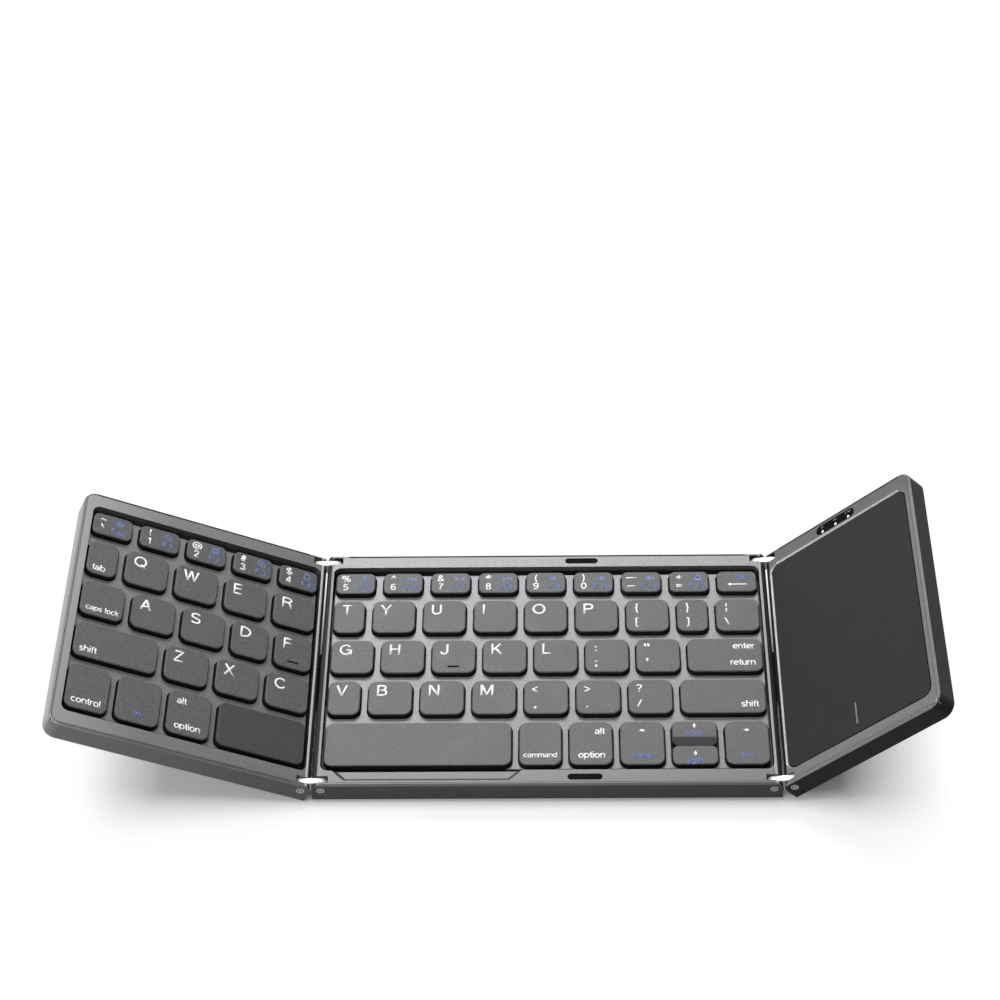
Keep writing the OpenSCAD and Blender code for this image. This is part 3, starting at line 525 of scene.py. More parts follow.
def finish_for(slot):
    """The material of a slot of the record, made once."""
    name = "finish_" + slot
    if name in bpy.data.materials:
        return bpy.data.materials[name]
    colours = settings("colours")
    makers = {
        "casing": lambda: blasted_metal(name, 1.0, 0.28, 0.4),
        # Painted shade: the casings' side walls are painted darker, as little light falls on each section's sides; the
        # left wing's are painted lighter towards its free end
        "centre_side": lambda: blasted_metal(name, 0.36, 0.05, 0.12),
        "left_side": lambda: blasted_metal(name, 0.6, 0.05, 0.15, fade=("X", -0.095, -0.15, 1.75)),
        "right_side": lambda: blasted_metal(name, 0.13, 0.05, 0.05),
        # Painted light: the left wing's free end is painted lighter
        "left_end": lambda: blasted_metal(name, 1.45, 0.28, 0.4),
        # Painted shade: the rolls at the hinge ends, in the gaps between sections, are painted darker
        "centre_roll": lambda: blasted_metal(name, 0.22, 0.05, 0.15),
        "wing_roll": lambda: blasted_metal(name, 0.3, 0.1, 0.6, 0.16),
        # Painted highlights on bevels
        "bright_bevel": lambda: blasted_metal(name, 1.7, 0.4, 0.5),
        "hinge_bevel": lambda: blasted_metal(name, 2.0, 0.3, 0.5),
        # Painted highlights on the edges above the rolls, the centre's lighter towards the right; a painted shade on
        # the right wing's edge and strip
        "centre_edge": lambda: blasted_metal(name, 1.6, 0.3, 0.5, fade=("X", -0.07, 0.07, 2.1)),
        "left_edge": lambda: blasted_metal(name, 3.8, 0.3, 0.5),
        "right_edge": lambda: blasted_metal(name, 0.1, 0.05, 0.05),
        # Painted light on the tops: lighter towards the left wing's free end; painted shade, darker towards the
        # centre's front and the right wing's back
        "left_top": lambda: blasted_metal(name, 1.0, 0.28, 0.4, fade=("X", -0.128, -0.156, 1.9)),
        "centre_top": lambda: blasted_metal(name, 1.0, 0.28, 0.4, fade=("Y", -0.035, -0.046, 0.85)),
        "right_top": lambda: blasted_metal(name, 1.0, 0.28, 0.4, fade=("Y", 0.035, 0.045, 0.75)),
        # Painted shadow line
        "rim_line": lambda: dull_inlay_and_shadow_line(name, colours.rim_line),
        "top_frame": lambda: blasted_metal(name, 1.0, 0.28, 0.4),
        "lattice": lambda: blasted_metal(name, 1.0, 0.28, 0.4),
        "keys": lambda: moulded_plastic(name, colours.keys, 0.46, depth=0.00009, speckle=2.0),
        # Painted shade on keys: the left space bar, the up key's slope and the caps' side walls are painted darker
        "shaded_key": lambda: moulded_plastic(name, shade(colours.keys, 0.33), 0.5, depth=0.00009, speckle=2.0),
        "key_slope": lambda: moulded_plastic(name, shade(colours.keys, 0.5), 0.5, gloss=0.2),
        "key_side": lambda: moulded_plastic(name, shade(colours.keys, 0.22), 0.5, gloss=0.1),
        "touchpad": lambda: moulded_plastic(name, colours.touchpad, 0.5, 0.0005, 0.00003, gloss=0.15),
        "pad_line": lambda: printed_ink(name, colours.pad_line),
        "link_metal": lambda: satin_metal(name, colours.chrome),
        "screw_metal": lambda: satin_metal(name, shade(colours.chrome, 0.2)),
        "socket_metal": lambda: polished_metal(name, colours.chrome, 0.24),
        "rubber": lambda: soft_rubber(name, colours.rubber),
        "dome_rubber": lambda: soft_rubber(name, colours.domes, 0.6),
        "board": lambda: moulded_plastic(name, colours.board, 0.55, 0.0004),
        "circuit_board": lambda: circuit_finish(name, colours.circuit),
        "battery_foil": lambda: polished_metal(name, colours.foil, 0.32),
        "black_plastic": lambda: moulded_plastic(name, colours.black, 0.42),
        # Also the painted shade on the home keys' marks
        "inlay": lambda: dull_inlay_and_shadow_line(name, shade(colours.black, 0.4)),
        "lamp": lambda: lit_lamp(name, colours.lamp),
        "ribbon": lambda: ribbon_finish(name, colours.black),
        "first_ink": lambda: printed_ink(name, colours.first_ink),
        "second_ink": lambda: printed_ink(name, colours.second_ink),
    }
    return makers[slot]()


# Pieces

# A face leans so little from upright that it counts as a side wall, or so much that it counts as a roll.
# The edge above a roll, which gets a painted highlight (a painted shade on the right wing), lies between its own lean
# and the roll's.
SIDE_WALL = 0.5
ROLL_LEAN = 0.42
ROLL_EDGE_LEAN = 0.12


def is_wall(middle, normal):
    return abs(normal.z) < SIDE_WALL


def is_casing_wall(middle, normal):
    """A side wall of a casing, or the bevel above its back wall."""
    return abs(normal.z) < SIDE_WALL or 0 < normal.z < 0.8 and normal.y > 0.5


def is_front_or_back(middle, normal):
    return is_casing_wall(middle, normal) and abs(normal.y) > 0.5


def is_left_end(middle, normal):
    return normal.x < -0.5


def is_slope(middle, normal):
    return abs(normal.z) < 0.985


def is_above(height):
    """Tells whether a face lies above a height, as the marks on the home keys do."""
    def test(middle, normal):
        return middle.z > height + 0.03 * MM
    return test


def is_rolled(lean, *ends):
    """Tells whether a face belongs to the roll of a hinge end and leans more than so much.

    Ends are the places of the section's hinge ends.
    """
    def test(middle, normal):
        at_end = min(abs(middle.x - end) for end in ends) < AXIS_IN
        return at_end and abs(normal.x) > lean and normal.z > -0.2
    return test


def add_piece(name, mesh_data, body, slot, *materials):
    """Links a finished mesh as a piece that rides on a body."""
    piece = bpy.data.objects.new(name, mesh_data)
    bpy.context.scene.collection.objects.link(piece)
    for material in materials or (finish_for(slot),):
        mesh_data.materials.append(material)
    if body:
        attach(piece, body)
    return piece


def merged_copy(node):
    """A node's mesh with its loose triangles joined and its flat faces whole."""
    model = bmesh.new()
    model.from_mesh(frame["nodes"][node].data)
    bmesh.ops.remove_doubles(model, verts=model.verts, dist=0.002 * MM)
    bmesh.ops.dissolve_limit(
        model, angle_limit=math.radians(0.5), verts=model.verts, edges=model.edges, use_dissolve_boundaries=False)
    return model


def to_mesh(model, name):
    data = bpy.data.meshes.new(name)
    model.to_mesh(data)
    model.free()
    return data


def soften(node, slot, width, segments=2, finish=None, others=(), reshape=None):
    """Stands a copy of a node with broken edges in its place.

    Others holds more finishes, each with a test that tells from a face's middle and its normal, in the
    section's frame, whether the face has it. Reshape works on the copy's form first.
    """
    model = merged_copy(node)
    if reshape:
        reshape(model)
        model.normal_update()
    into_section = section_of(node).inverted()
    for face in model.faces:
        middle = into_section @ face.calc_center_median()
        normal = into_section.to_3x3() @ face.normal
        matches = [index for index, (_, test) in enumerate(others, 1) if test(middle, normal)]
        face.material_index = matches[0] if matches else 0
    data = to_mesh(model, node + "_soft")
    finishes = [finish or finish_for(slot)] + [finish_for(name) for name, _ in others]
    piece = add_piece(node + "_soft", data, body_of(node), slot, *finishes)
    data.shade_smooth()
    rounding = piece.modifiers.new("Rounded edges", "BEVEL")
    rounding.width = width
    rounding.segments = segments
    rounding.limit_method = "ANGLE"
    rounding.angle_limit = math.radians(32)
    rounding.harden_normals = True
    rounding.use_clamp_overlap = True
    shading = piece.modifiers.new("Flat faces", "WEIGHTED_NORMAL")
    shading.mode = "FACE_AREA"
    shading.weight = 100
    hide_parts(node)
    return piece


def dress(node, finish):
    """Gives a CAD node that stays as it is its finish."""
    data = frame["nodes"][node].data
    data.materials.clear()
    data.materials.append(finish_for(finish))


class Cap:
    """One key cap in its section's frame: its edges seen from above, and its top."""

    def __init__(self, corners):
        self.left = min(corner.x for corner in corners)
        self.right = max(corner.x for corner in corners)
        self.front = min(corner.y for corner in corners)
        self.back = max(corner.y for corner in corners)
        self.top = max(corner.z for corner in corners)
        self.middle = (self.left + self.right) / 2

    def covers(self, place):
        return self.left < place.x < self.right and self.front < place.y < self.back


def caps_of(node):
    """The separate caps of a key node, from left to right."""
    model = merged_copy(node)
    model.transform(section_of(node).inverted())
    left_over = set(model.verts)
    caps = []
    while left_over:
        reached = [left_over.pop()]
        for vertex in reached:
            for edge in vertex.link_edges:
                other = edge.other_vert(vertex)
                if other in left_over:
                    left_over.remove(other)
                    reached.append(other)
        caps.append(Cap([vertex.co.copy() for vertex in reached]))
    model.free()
    return sorted(caps, key=lambda cap: cap.left)


class Print:
    """Thin raised ink in a section's frame: words and small signs, in two inks."""

    def __init__(self):
        self.model = bmesh.new()
        self.height = settings("sizes").ink

    def add(self, data, move, ink):
        """Adds a flat mesh or bmesh, given a thickness, in place."""
        start = len(self.model.faces)
        self.model.from_mesh(data)
        self.model.faces.ensure_lookup_table()
        fresh = self.model.faces[start:]
        verts = list({vertex for face in fresh for vertex in face.verts})
        bmesh.ops.transform(self.model, matrix=move, verts=verts)
        for face in fresh:
            face.material_index = ink

    def word(self, text, x, y, z, height, align="LEFT", ink=0, turn=None, weight=0.165, stretch=1.2):
        """A word whose capitals are centred on y. Its lines are weight times as thick as a capital is tall."""
        curve = bpy.data.curves.new("word", "CURVE")
        curve.dimensions = "3D"
        curve.twist_mode = "Z_UP"
        curve.bevel_depth = weight / 2
        curve.bevel_resolution = 0
        curve.use_fill_caps = True
        reach = 0.0
        for letter in text:
            advance, *strokes = LETTERS[letter]
            for stroke in strokes:
                for part in split_at_corners(stroke):
                    self.add_spline(curve, part, reach)
            reach += advance
        lettering = bpy.data.objects.new("word", curve)
        bpy.context.scene.collection.objects.link(lettering)
        bpy.context.view_layer.update()
        data = bpy.data.meshes.new_from_object(lettering.evaluated_get(bpy.context.evaluated_depsgraph_get()))
        bpy.data.objects.remove(lettering)
        bpy.data.curves.remove(curve)
        start = {"LEFT": 0.0, "CENTER": -reach / 2, "RIGHT": -reach}[align]
        scale = Matrix.Diagonal((height * stretch, height, 2 * self.height / weight, 1))
        flat = scale @ Matrix.Translation((start, -0.5, 0))
        self.add(data, Matrix.Translation((x, y, z)) @ (turn or Matrix.Identity(4)) @ flat, ink)
        bpy.data.meshes.remove(data)

    @staticmethod
    def add_spline(curve, points, reach):
        closed = points[0] == points[-1]
        kept = points[:-1] if closed else points
        spline = curve.splines.new("POLY")
        spline.points.add(len(kept) - 1)
        spline.use_cyclic_u = closed
        for point, (px, py) in zip(spline.points, kept):
            point.co = (px + reach, py, 0, 1)

    def outline(self, points, x, y, z, ink, turn=None):
        """A filled flat shape through a few points, given a thickness."""
        shape = bmesh.new()
        face = shape.faces.new([shape.verts.new((px, py, -self.height)) for px, py in points])
        grown = bmesh.ops.extrude_face_region(shape, geom=[face])["geom"]
        top = [item for item in grown if isinstance(item, bmesh.types.BMVert)]
        bmesh.ops.translate(shape, vec=(0, 0, 2 * self.height), verts=top)
        bmesh.ops.recalc_face_normals(shape, faces=shape.faces)
        data = to_mesh(shape, "sign")
        self.add(data, Matrix.Translation((x, y, z)) @ (turn or Matrix.Identity(4)), ink)
        bpy.data.meshes.remove(data)

    def bar(self, x, y, z, wide, tall, ink=0, angle=0.0):
        half_w, half_t = wide / 2, tall / 2
        corners = [(-half_w, -half_t), (half_w, -half_t), (half_w, half_t), (-half_w, half_t)]
        self.outline(corners, x, y, z, ink, Matrix.Rotation(angle, 4, "Z"))

    def line(self, points, z, wide, ink=0):
        """A line through a few points."""
        for (x, y), (next_x, next_y) in zip(points, points[1:]):
            along = Vector((next_x - x, next_y - y))
            self.bar((x + next_x) / 2, (y + next_y) / 2, z, along.length + wide / 4, wide, ink,
                     math.atan2(along.y, along.x))

    def wedge(self, x, y, z, size, angle, ink=0):
        """A triangle that points along angle."""
        corners = [(-size / 2, -size / 2), (size / 2, 0), (-size / 2, size / 2)]
        self.outline(corners, x, y, z, ink, Matrix.Rotation(angle, 4, "Z"))

    def ring(self, x, y, z, radius, line, ink=0, sides=16):
        """A ring as a run of short bars."""
        side = 2 * radius * math.tan(math.pi / sides)
        for step in range(sides):
            angle = 2 * math.pi * step / sides
            self.bar(x + radius * math.cos(angle), y + radius * math.sin(angle), z, side * 1.05, line, ink,
                     angle + math.pi / 2)

    def frame(self, x, y, z, wide, tall, line, ink=0):
        for side in (-1, 1):
            self.bar(x, y + side * (tall - line) / 2, z, wide, line, ink)
            self.bar(x + side * (wide - line) / 2, y, z, line, tall - 2 * line, ink)

    def arrow(self, x, y, z, reach, angle, ink=0, line=0.00035, head=0.0012):
        """An arrow of that whole length, centred on x and y."""
        along = Vector((math.cos(angle), math.sin(angle)))
        tip = along * (reach / 2 - head / 2)
        shaft = along * (-head / 2)
        self.wedge(x + tip.x, y + tip.y, z, head, angle, ink)
        self.bar(x + shaft.x, y + shaft.y, z, reach - head, line, ink, angle)

    def finish(self, name, section, body, slot="keys", inks=("first_ink", "second_ink")):
        """Puts the print in place and lets it ride on a body."""
        bmesh.ops.remove_doubles(self.model, verts=self.model.verts, dist=0.001 * MM)
        self.model.transform(section)
        return add_piece(name, to_mesh(self.model, name), body, slot, *[finish_for(ink) for ink in inks])


# Lettering drawn with strokes. A capital is 1 tall and stands on y = 0.


def arc(x, y, wide, tall, start, end):
    """Points on an ellipse, from one angle to another in degrees."""
    count = max(3, math.ceil(abs(end - start) / 22))
    angles = [math.radians(start + (end - start) * step / count) for step in range(count + 1)]
    points = [(round(x + wide * math.cos(angle), 4), round(y + tall * math.sin(angle), 4)) for angle in angles]
    return points[:-1] + [points[0]] if abs(end - start) == 360 else points


def turn_round(x, y, radius, start, end):
    """Points on a quarter of a circle, in metres."""
    angles = [math.radians(start + (end - start) * step / 8) for step in range(9)]
    return [(x + radius * math.cos(angle), y + radius * math.sin(angle)) for angle in angles]


def split_at_corners(points):
    """Cuts a stroke where it turns sharply, so that each part keeps its full width."""
    points = [here for before, here in zip([None] + points, points) if here != before]
    parts = [[points[0]]]
    for before, here, after in zip(points, points[1:], points[2:]):
        parts[-1].append(here)
        first = Vector((here[0] - before[0], here[1] - before[1]))
        second = Vector((after[0] - here[0], after[1] - here[1]))
        if first.angle(second) > math.radians(50):
            parts.append([here])
    parts[-1].append(points[-1])
    return parts


def stem(x, low=0.0, high=1.0):
    return [(x, low), (x, high)]


def level(y, left, right):
    return [(left, y), (right, y)]


def bowl(x, right, low, high):
    """A round side that leaves a stem at x and comes back to it."""
    middle, half = (low + high) / 2, (high - low) / 2
    round_x = max(x, right - half * 1.05)
    return [(x, high)] + arc(round_x, middle, right - round_x, half, 90, -90) + [(x, low)]


def mirrored(width, *strokes):
    return [[(width - px, py) for px, py in stroke] for stroke in strokes]


LOW, HIGH, LOWER_HIGH = 0.06, 0.94, 0.67
S_CURVE = arc(0.34, 0.73, 0.25, 0.21, 20, 250) + arc(0.34, 0.28, 0.27, 0.22, 75, -162)
SMALL_S = arc(0.24, 0.52, 0.16, 0.15, 20, 250) + arc(0.24, 0.21, 0.18, 0.15, 75, -162)
SMALL_O = arc(0.29, 0.365, 0.22, 0.305, 0, 360)
ARCH = arc(0.285, 0.46, 0.195, 0.21, 165, 0) + [(0.48, 0)]
BRACE = [
    (0.31, 1.04), (0.22, 1.02), (0.17, 0.93), (0.17, 0.6), (0.13, 0.48), (0.04, 0.42), (0.13, 0.36),
    (0.17, 0.24), (0.17, -0.09), (0.22, -0.18), (0.31, -0.2)]
BRACKET = ([(0.1, 1.04), (0.1, -0.2)], level(1.0, 0.06, 0.3), level(-0.16, 0.06, 0.3))
ANGLE = ([(0.56, 0.76), (0.05, 0.42)], [(0.05, 0.42), (0.56, 0.08)])
DOT = stem(0.1, 0, 0.15)
HIGH_DOT = stem(0.1, 0.52, 0.67)
COMMA = [(0.13, 0.13), (0.13, 0.0), (0.05, -0.16)]

# The width that each sign takes up, then its strokes
LETTERS = {
    " ": (0.32,),
    "A": (0.78, [(0.05, 0), (0.36, 0.98)], [(0.67, 0), (0.36, 0.98)], level(0.33, 0.15, 0.57)),
    "B": (0.76, stem(0.1), bowl(0.1, 0.58, 0.53, HIGH), bowl(0.1, 0.63, LOW, 0.53)),
    "C": (0.82, arc(0.42, 0.5, 0.34, 0.44, 38, 322)),
    "D": (0.8, stem(0.1), bowl(0.1, 0.69, LOW, HIGH)),
    "E": (0.7, stem(0.1), level(HIGH, 0.1, 0.6), level(0.53, 0.1, 0.56), level(LOW, 0.1, 0.62)),
    "F": (0.66, stem(0.1), level(HIGH, 0.1, 0.59), level(0.52, 0.1, 0.53)),
    "G": (0.86, arc(0.42, 0.5, 0.34, 0.44, 38, 345), level(0.47, 0.44, 0.8), stem(0.76, 0.02, 0.5)),
    "H": (0.76, stem(0.1), stem(0.64), level(0.53, 0.1, 0.64)),
    "I": (0.28, stem(0.13)),
    "J": (0.6, [(0.47, 1), (0.47, 0.3)] + arc(0.265, 0.27, 0.205, 0.21, 0, -180)),
    "K": (0.72, stem(0.1), [(0.62, 1), (0.12, 0.38)], [(0.29, 0.58), (0.67, 0)]),
    "L": (0.6, stem(0.1), level(LOW, 0.1, 0.56)),
    "M": (0.86, stem(0.09), stem(0.77), [(0.11, 0.97), (0.43, 0.06)], [(0.75, 0.97), (0.43, 0.06)]),
    "N": (0.76, stem(0.1), stem(0.64), [(0.12, 0.96), (0.62, 0.04)]),
    "O": (0.88, arc(0.43, 0.5, 0.36, 0.44, 0, 360)),
    "P": (0.7, stem(0.1), bowl(0.1, 0.62, 0.47, HIGH)),
    "Q": (0.88, arc(0.43, 0.5, 0.36, 0.44, 0, 360), [(0.5, 0.25), (0.76, -0.02)]),
    "R": (0.76, stem(0.1), bowl(0.1, 0.63, 0.5, HIGH), [(0.42, 0.5), (0.58, 0.34), (0.64, 0)]),
    "S": (0.7, S_CURVE),
    "T": (0.66, stem(0.33), level(HIGH, 0.03, 0.63)),
    "U": (0.74, [(0.1, 1), (0.1, 0.34)] + arc(0.36, 0.32, 0.26, 0.26, 180, 360) + [(0.62, 0.34), (0.62, 1)]),
    "V": (0.68, [(0.04, 1), (0.34, 0.02)], [(0.64, 1), (0.34, 0.02)]),
    "W": (0.98, [(0.04, 1), (0.265, 0.02)], [(0.49, 0.98), (0.265, 0.02)], [(0.49, 0.98), (0.715, 0.02)],
          [(0.94, 1), (0.715, 0.02)]),
    "X": (0.68, [(0.05, 1), (0.62, 0)], [(0.61, 1), (0.04, 0)]),
    "Y": (0.68, [(0.03, 1), (0.34, 0.44)], [(0.65, 1), (0.34, 0.44)], stem(0.34, 0, 0.46)),
    "Z": (0.66, level(HIGH, 0.06, 0.6), [(0.59, 0.93), (0.06, 0.07)], level(LOW, 0.03, 0.62)),
    "0": (0.6, arc(0.3, 0.5, 0.22, 0.44, 0, 360)),
    "1": (0.6, stem(0.37), [(0.36, 0.95), (0.29, 0.82), (0.14, 0.78)]),
    "2": (0.6, arc(0.29, 0.7, 0.21, 0.24, 170, -35) + [(0.09, 0.08)], level(LOW, 0.06, 0.54)),
    "3": (0.6, arc(0.28, 0.73, 0.2, 0.21, 160, -90), arc(0.28, 0.29, 0.23, 0.23, 90, -160)),
    "4": (0.6, stem(0.42), [(0.4, 0.96), (0.06, 0.3)], level(0.26, 0.04, 0.56)),
    "5": (0.6, level(HIGH, 0.14, 0.52), [(0.15, 0.95), (0.1, 0.46)], arc(0.28, 0.31, 0.22, 0.25, 142, -155)),
    "6": (0.6, arc(0.3, 0.3, 0.215, 0.24, 0, 360), arc(0.34, 0.5, 0.26, 0.44, 45, 195)),
    "7": (0.6, level(HIGH, 0.05, 0.54), [(0.52, 0.93), (0.3, 0.5), (0.21, 0)]),
    "8": (0.6, arc(0.29, 0.73, 0.19, 0.21, 0, 360), arc(0.29, 0.28, 0.225, 0.22, 0, 360)),
    "9": (0.6, arc(0.29, 0.7, 0.215, 0.24, 0, 360), arc(0.25, 0.5, 0.26, 0.44, 225, 375)),
    "a": (0.56, arc(0.27, 0.5, 0.19, 0.17, 160, 0) + [(0.46, 0.0)], arc(0.25, 0.21, 0.19, 0.15, 0, 360)),
    "b": (0.58, stem(0.08), SMALL_O),
    "c": (0.52, arc(0.28, 0.365, 0.22, 0.305, 42, 318)),
    "d": (0.6, stem(0.51), SMALL_O),
    "e": (0.56, arc(0.28, 0.365, 0.22, 0.305, 0, 318), level(0.365, 0.06, 0.5)),
    "f": (0.32, [(0.16, 0), (0.16, 0.8)] + arc(0.3, 0.8, 0.14, 0.14, 180, 80), level(LOWER_HIGH, 0.02, 0.32)),
    "g": (0.6, SMALL_O, [(0.51, 0.73), (0.51, 0.0)] + arc(0.3, -0.02, 0.21, 0.19, 0, -150)),
    "h": (0.57, stem(0.09), ARCH),
    "i": (0.2, stem(0.1, 0, 0.73), stem(0.1, 0.87, 1.0)),
    "k": (0.52, stem(0.09), [(0.44, 0.73), (0.1, 0.26)], [(0.22, 0.42), (0.49, 0)]),
    "l": (0.2, stem(0.1)),
    "m": (0.84, stem(0.09, 0, 0.73), arc(0.255, 0.48, 0.165, 0.19, 165, 0) + [(0.42, 0)],
          arc(0.585, 0.48, 0.165, 0.19, 165, 0) + [(0.75, 0)]),
    "n": (0.57, stem(0.09, 0, 0.73), ARCH),
    "o": (0.58, SMALL_O),
    "p": (0.58, stem(0.08, -0.27, 0.73), SMALL_O),
    "r": (0.36, stem(0.09, 0, 0.73), arc(0.31, 0.42, 0.21, 0.25, 165, 88)),
    "s": (0.48, SMALL_S),
    "t": (0.31, [(0.16, 0.92), (0.16, 0.2)] + arc(0.29, 0.2, 0.13, 0.14, 180, 275), level(LOWER_HIGH, 0.02, 0.3)),
    "u": (0.57, [(0.09, 0.73), (0.09, 0.27)] + arc(0.285, 0.27, 0.195, 0.21, 180, 345), stem(0.48, 0, 0.73)),
    "~": (0.66, [(0.04, 0.42), (0.12, 0.52), (0.24, 0.53), (0.4, 0.43), (0.52, 0.42), (0.61, 0.52)]),
    "`": (0.4, [(0.03, 1.05), (0.34, 0.45)]),
    "!": (0.25, stem(0.12, 0.28, 1), stem(0.12, 0, 0.14)),
    "@": (1.04, arc(0.52, 0.42, 0.45, 0.52, -55, 290), arc(0.5, 0.42, 0.18, 0.22, 0, 360),
          [(0.72, 0.66), (0.68, 0.34), (0.74, 0.2), (0.86, 0.24)]),
    "#": (0.68, [(0.2, 0), (0.3, 1)], [(0.4, 0), (0.5, 1)], level(0.66, 0.06, 0.66), level(0.34, 0.02, 0.62)),
    "$": (0.7, S_CURVE, stem(0.34, -0.1, 1.1)),
    "%": (0.92, arc(0.21, 0.74, 0.15, 0.2, 0, 360), arc(0.71, 0.26, 0.15, 0.2, 0, 360), [(0.68, 1), (0.24, 0)]),
    "^": (0.56, [(0.06, 0.52), (0.28, 1.0)], [(0.5, 0.52), (0.28, 1.0)]),
    "&": (0.72, [(0.19, 0.66), (0.66, 0)], arc(0.3, 0.78, 0.15, 0.16, 225, -40) + [(0.16, 0.44)],
          arc(0.29, 0.27, 0.22, 0.21, 125, 330) + [(0.61, 0.44)]),
    "*": (0.64, stem(0.32, 0.3, 1.0), [(0.02, 0.47), (0.62, 0.83)], [(0.62, 0.47), (0.02, 0.83)]),
    "(": (0.34, arc(0.46, 0.42, 0.34, 0.72, 122, 238)),
    ")": (0.34, *mirrored(0.34, arc(0.46, 0.42, 0.34, 0.72, 122, 238))),
    "_": (1.2, level(0.42, 0.02, 1.18)),
    "+": (0.64, stem(0.32, 0.12, 0.76), level(0.44, 0.0, 0.64)),
    "-": (0.9, level(0.42, 0.02, 0.88)),
    "=": (0.64, level(0.58, 0.0, 0.64), level(0.3, 0.0, 0.64)),
    "{": (0.34, BRACE),
    "}": (0.34, *mirrored(0.34, BRACE)),
    "[": (0.34, *BRACKET),
    "]": (0.34, *mirrored(0.34, *BRACKET)),
    "|": (0.2, stem(0.1, 0.56, 1.04), stem(0.1, -0.18, 0.34)),
    "\\": (0.4, [(0.02, 1), (0.38, 0)]),
    "/": (0.4, [(0.38, 1), (0.02, 0)]),
    ":": (0.2, DOT, HIGH_DOT),
    ";": (0.2, COMMA, HIGH_DOT),
    '"': (0.42, stem(0.06, 0.6, 1), stem(0.36, 0.6, 1)),
    "'": (0.2, stem(0.1, 0.56, 1)),
    "<": (0.62, *ANGLE),
    ">": (0.62, *mirrored(0.62, *ANGLE)),
    ",": (0.2, COMMA),
    ".": (0.2, DOT),
    "?": (0.58, arc(0.28, 0.75, 0.21, 0.2, 165, -40) + [(0.28, 0.46), (0.28, 0.28)], stem(0.28, 0, 0.14)),
}

# The two inks, and the ways an arrow points
FIRST, SECOND = 0, 1
EAST, NORTH, WEST, SOUTH = 0, math.pi / 2, math.pi, -math.pi / 2


# Small signs above the function numbers, each drawn round a middle in this unit
SIGN = 1.45 * MM


def sign_search(ink, x, y, z):
    ink.ring(x - 0.2 * SIGN, y + 0.2 * SIGN, z, 0.6 * SIGN, 0.25 * SIGN, SECOND)
    ink.bar(x + 0.6 * SIGN, y - 0.6 * SIGN, z, 0.9 * SIGN, 0.28 * SIGN, SECOND, -math.pi / 4)


def sign_home(ink, x, y, z):
    for side in (-1, 1):
        ink.bar(x + side * 0.5 * SIGN, y + 0.4 * SIGN, z, 1.35 * SIGN, 0.24 * SIGN, SECOND, -side * 0.62)
    ink.frame(x, y - 0.35 * SIGN, z, 1.2 * SIGN, 0.9 * SIGN, 0.24 * SIGN, SECOND)


def sign_select(ink, x, y, z):
    ink.frame(x, y, z, 1.7 * SIGN, 1.7 * SIGN, 0.25 * SIGN, SECOND)
    ink.bar(x, y + 0.35 * SIGN, z, 0.8 * SIGN, 0.22 * SIGN, SECOND)
    ink.bar(x, y - 0.3 * SIGN, z, 0.8 * SIGN, 0.22 * SIGN, SECOND)


def sign_copy(ink, x, y, z):
    ink.frame(x - 0.3 * SIGN, y + 0.25 * SIGN, z, 1.2 * SIGN, 1.3 * SIGN, 0.22 * SIGN, SECOND)
    ink.frame(x + 0.4 * SIGN, y - 0.3 * SIGN, z, 1.2 * SIGN, 1.3 * SIGN, 0.22 * SIGN, SECOND)


def sign_paste(ink, x, y, z):
    ink.frame(x, y - 0.1 * SIGN, z, 1.5 * SIGN, 1.6 * SIGN, 0.25 * SIGN, SECOND)
    ink.bar(x, y + 0.8 * SIGN, z, 0.8 * SIGN, 0.35 * SIGN, SECOND)


def sign_cut(ink, x, y, z):
    for side in (-1, 1):
        ink.ring(x + side * 0.55 * SIGN, y - 0.65 * SIGN, z, 0.3 * SIGN, 0.2 * SIGN, SECOND, 10)
        ink.bar(x, y + 0.25 * SIGN, z, 1.8 * SIGN, 0.22 * SIGN, SECOND, math.pi / 2 + side * 0.42)


def sign_back(ink, x, y, z):
    ink.bar(x - 1.0 * SIGN, y, z, 0.25 * SIGN, 1.3 * SIGN, SECOND)
    for step in (-0.3, 0.6):
        ink.wedge(x + step * SIGN, y, z, 0.95 * SIGN, WEST, SECOND)


def sign_play(ink, x, y, z):
    ink.wedge(x - 0.5 * SIGN, y, z, 1.2 * SIGN, EAST, SECOND)
    for step in (0.5, 1.0):
        ink.bar(x + step * SIGN, y, z, 0.25 * SIGN, 1.2 * SIGN, SECOND)


def sign_next(ink, x, y, z):
    ink.bar(x + 1.0 * SIGN, y, z, 0.25 * SIGN, 1.3 * SIGN, SECOND)
    for step in (-0.6, 0.3):
        ink.wedge(x + step * SIGN, y, z, 0.95 * SIGN, EAST, SECOND)


def sign_speaker(waves):
    """A loudspeaker with so many bars of sound beside it."""
    def draw(ink, x, y, z):
        ink.bar(x - 0.95 * SIGN, y, z, 0.5 * SIGN, 0.7 * SIGN, SECOND)
        ink.wedge(x - 0.5 * SIGN, y, z, 1.2 * SIGN, WEST, SECOND)
        for wave in range(waves):
            ink.bar(x + (0.45 + 0.45 * wave) * SIGN, y, z, 0.22 * SIGN, (0.7 + 0.5 * wave) * SIGN, SECOND)
    return draw


def sign_lock(ink, x, y, z):
    ink.bar(x, y - 0.4 * SIGN, z, 1.4 * SIGN, 1.0 * SIGN, SECOND)
    ink.frame(x, y + 0.35 * SIGN, z, 0.9 * SIGN, 0.9 * SIGN, 0.22 * SIGN, SECOND)


# Legends: what each kind of key carries. A line's depth is measured from the cap's back edge.


def letter_key(text):
    def draw(ink, cap):
        sizes = settings("sizes")
        ink.word(text, cap.left + sizes.margin, cap.back - 4.0 * MM, cap.top, sizes.letter)
    return draw


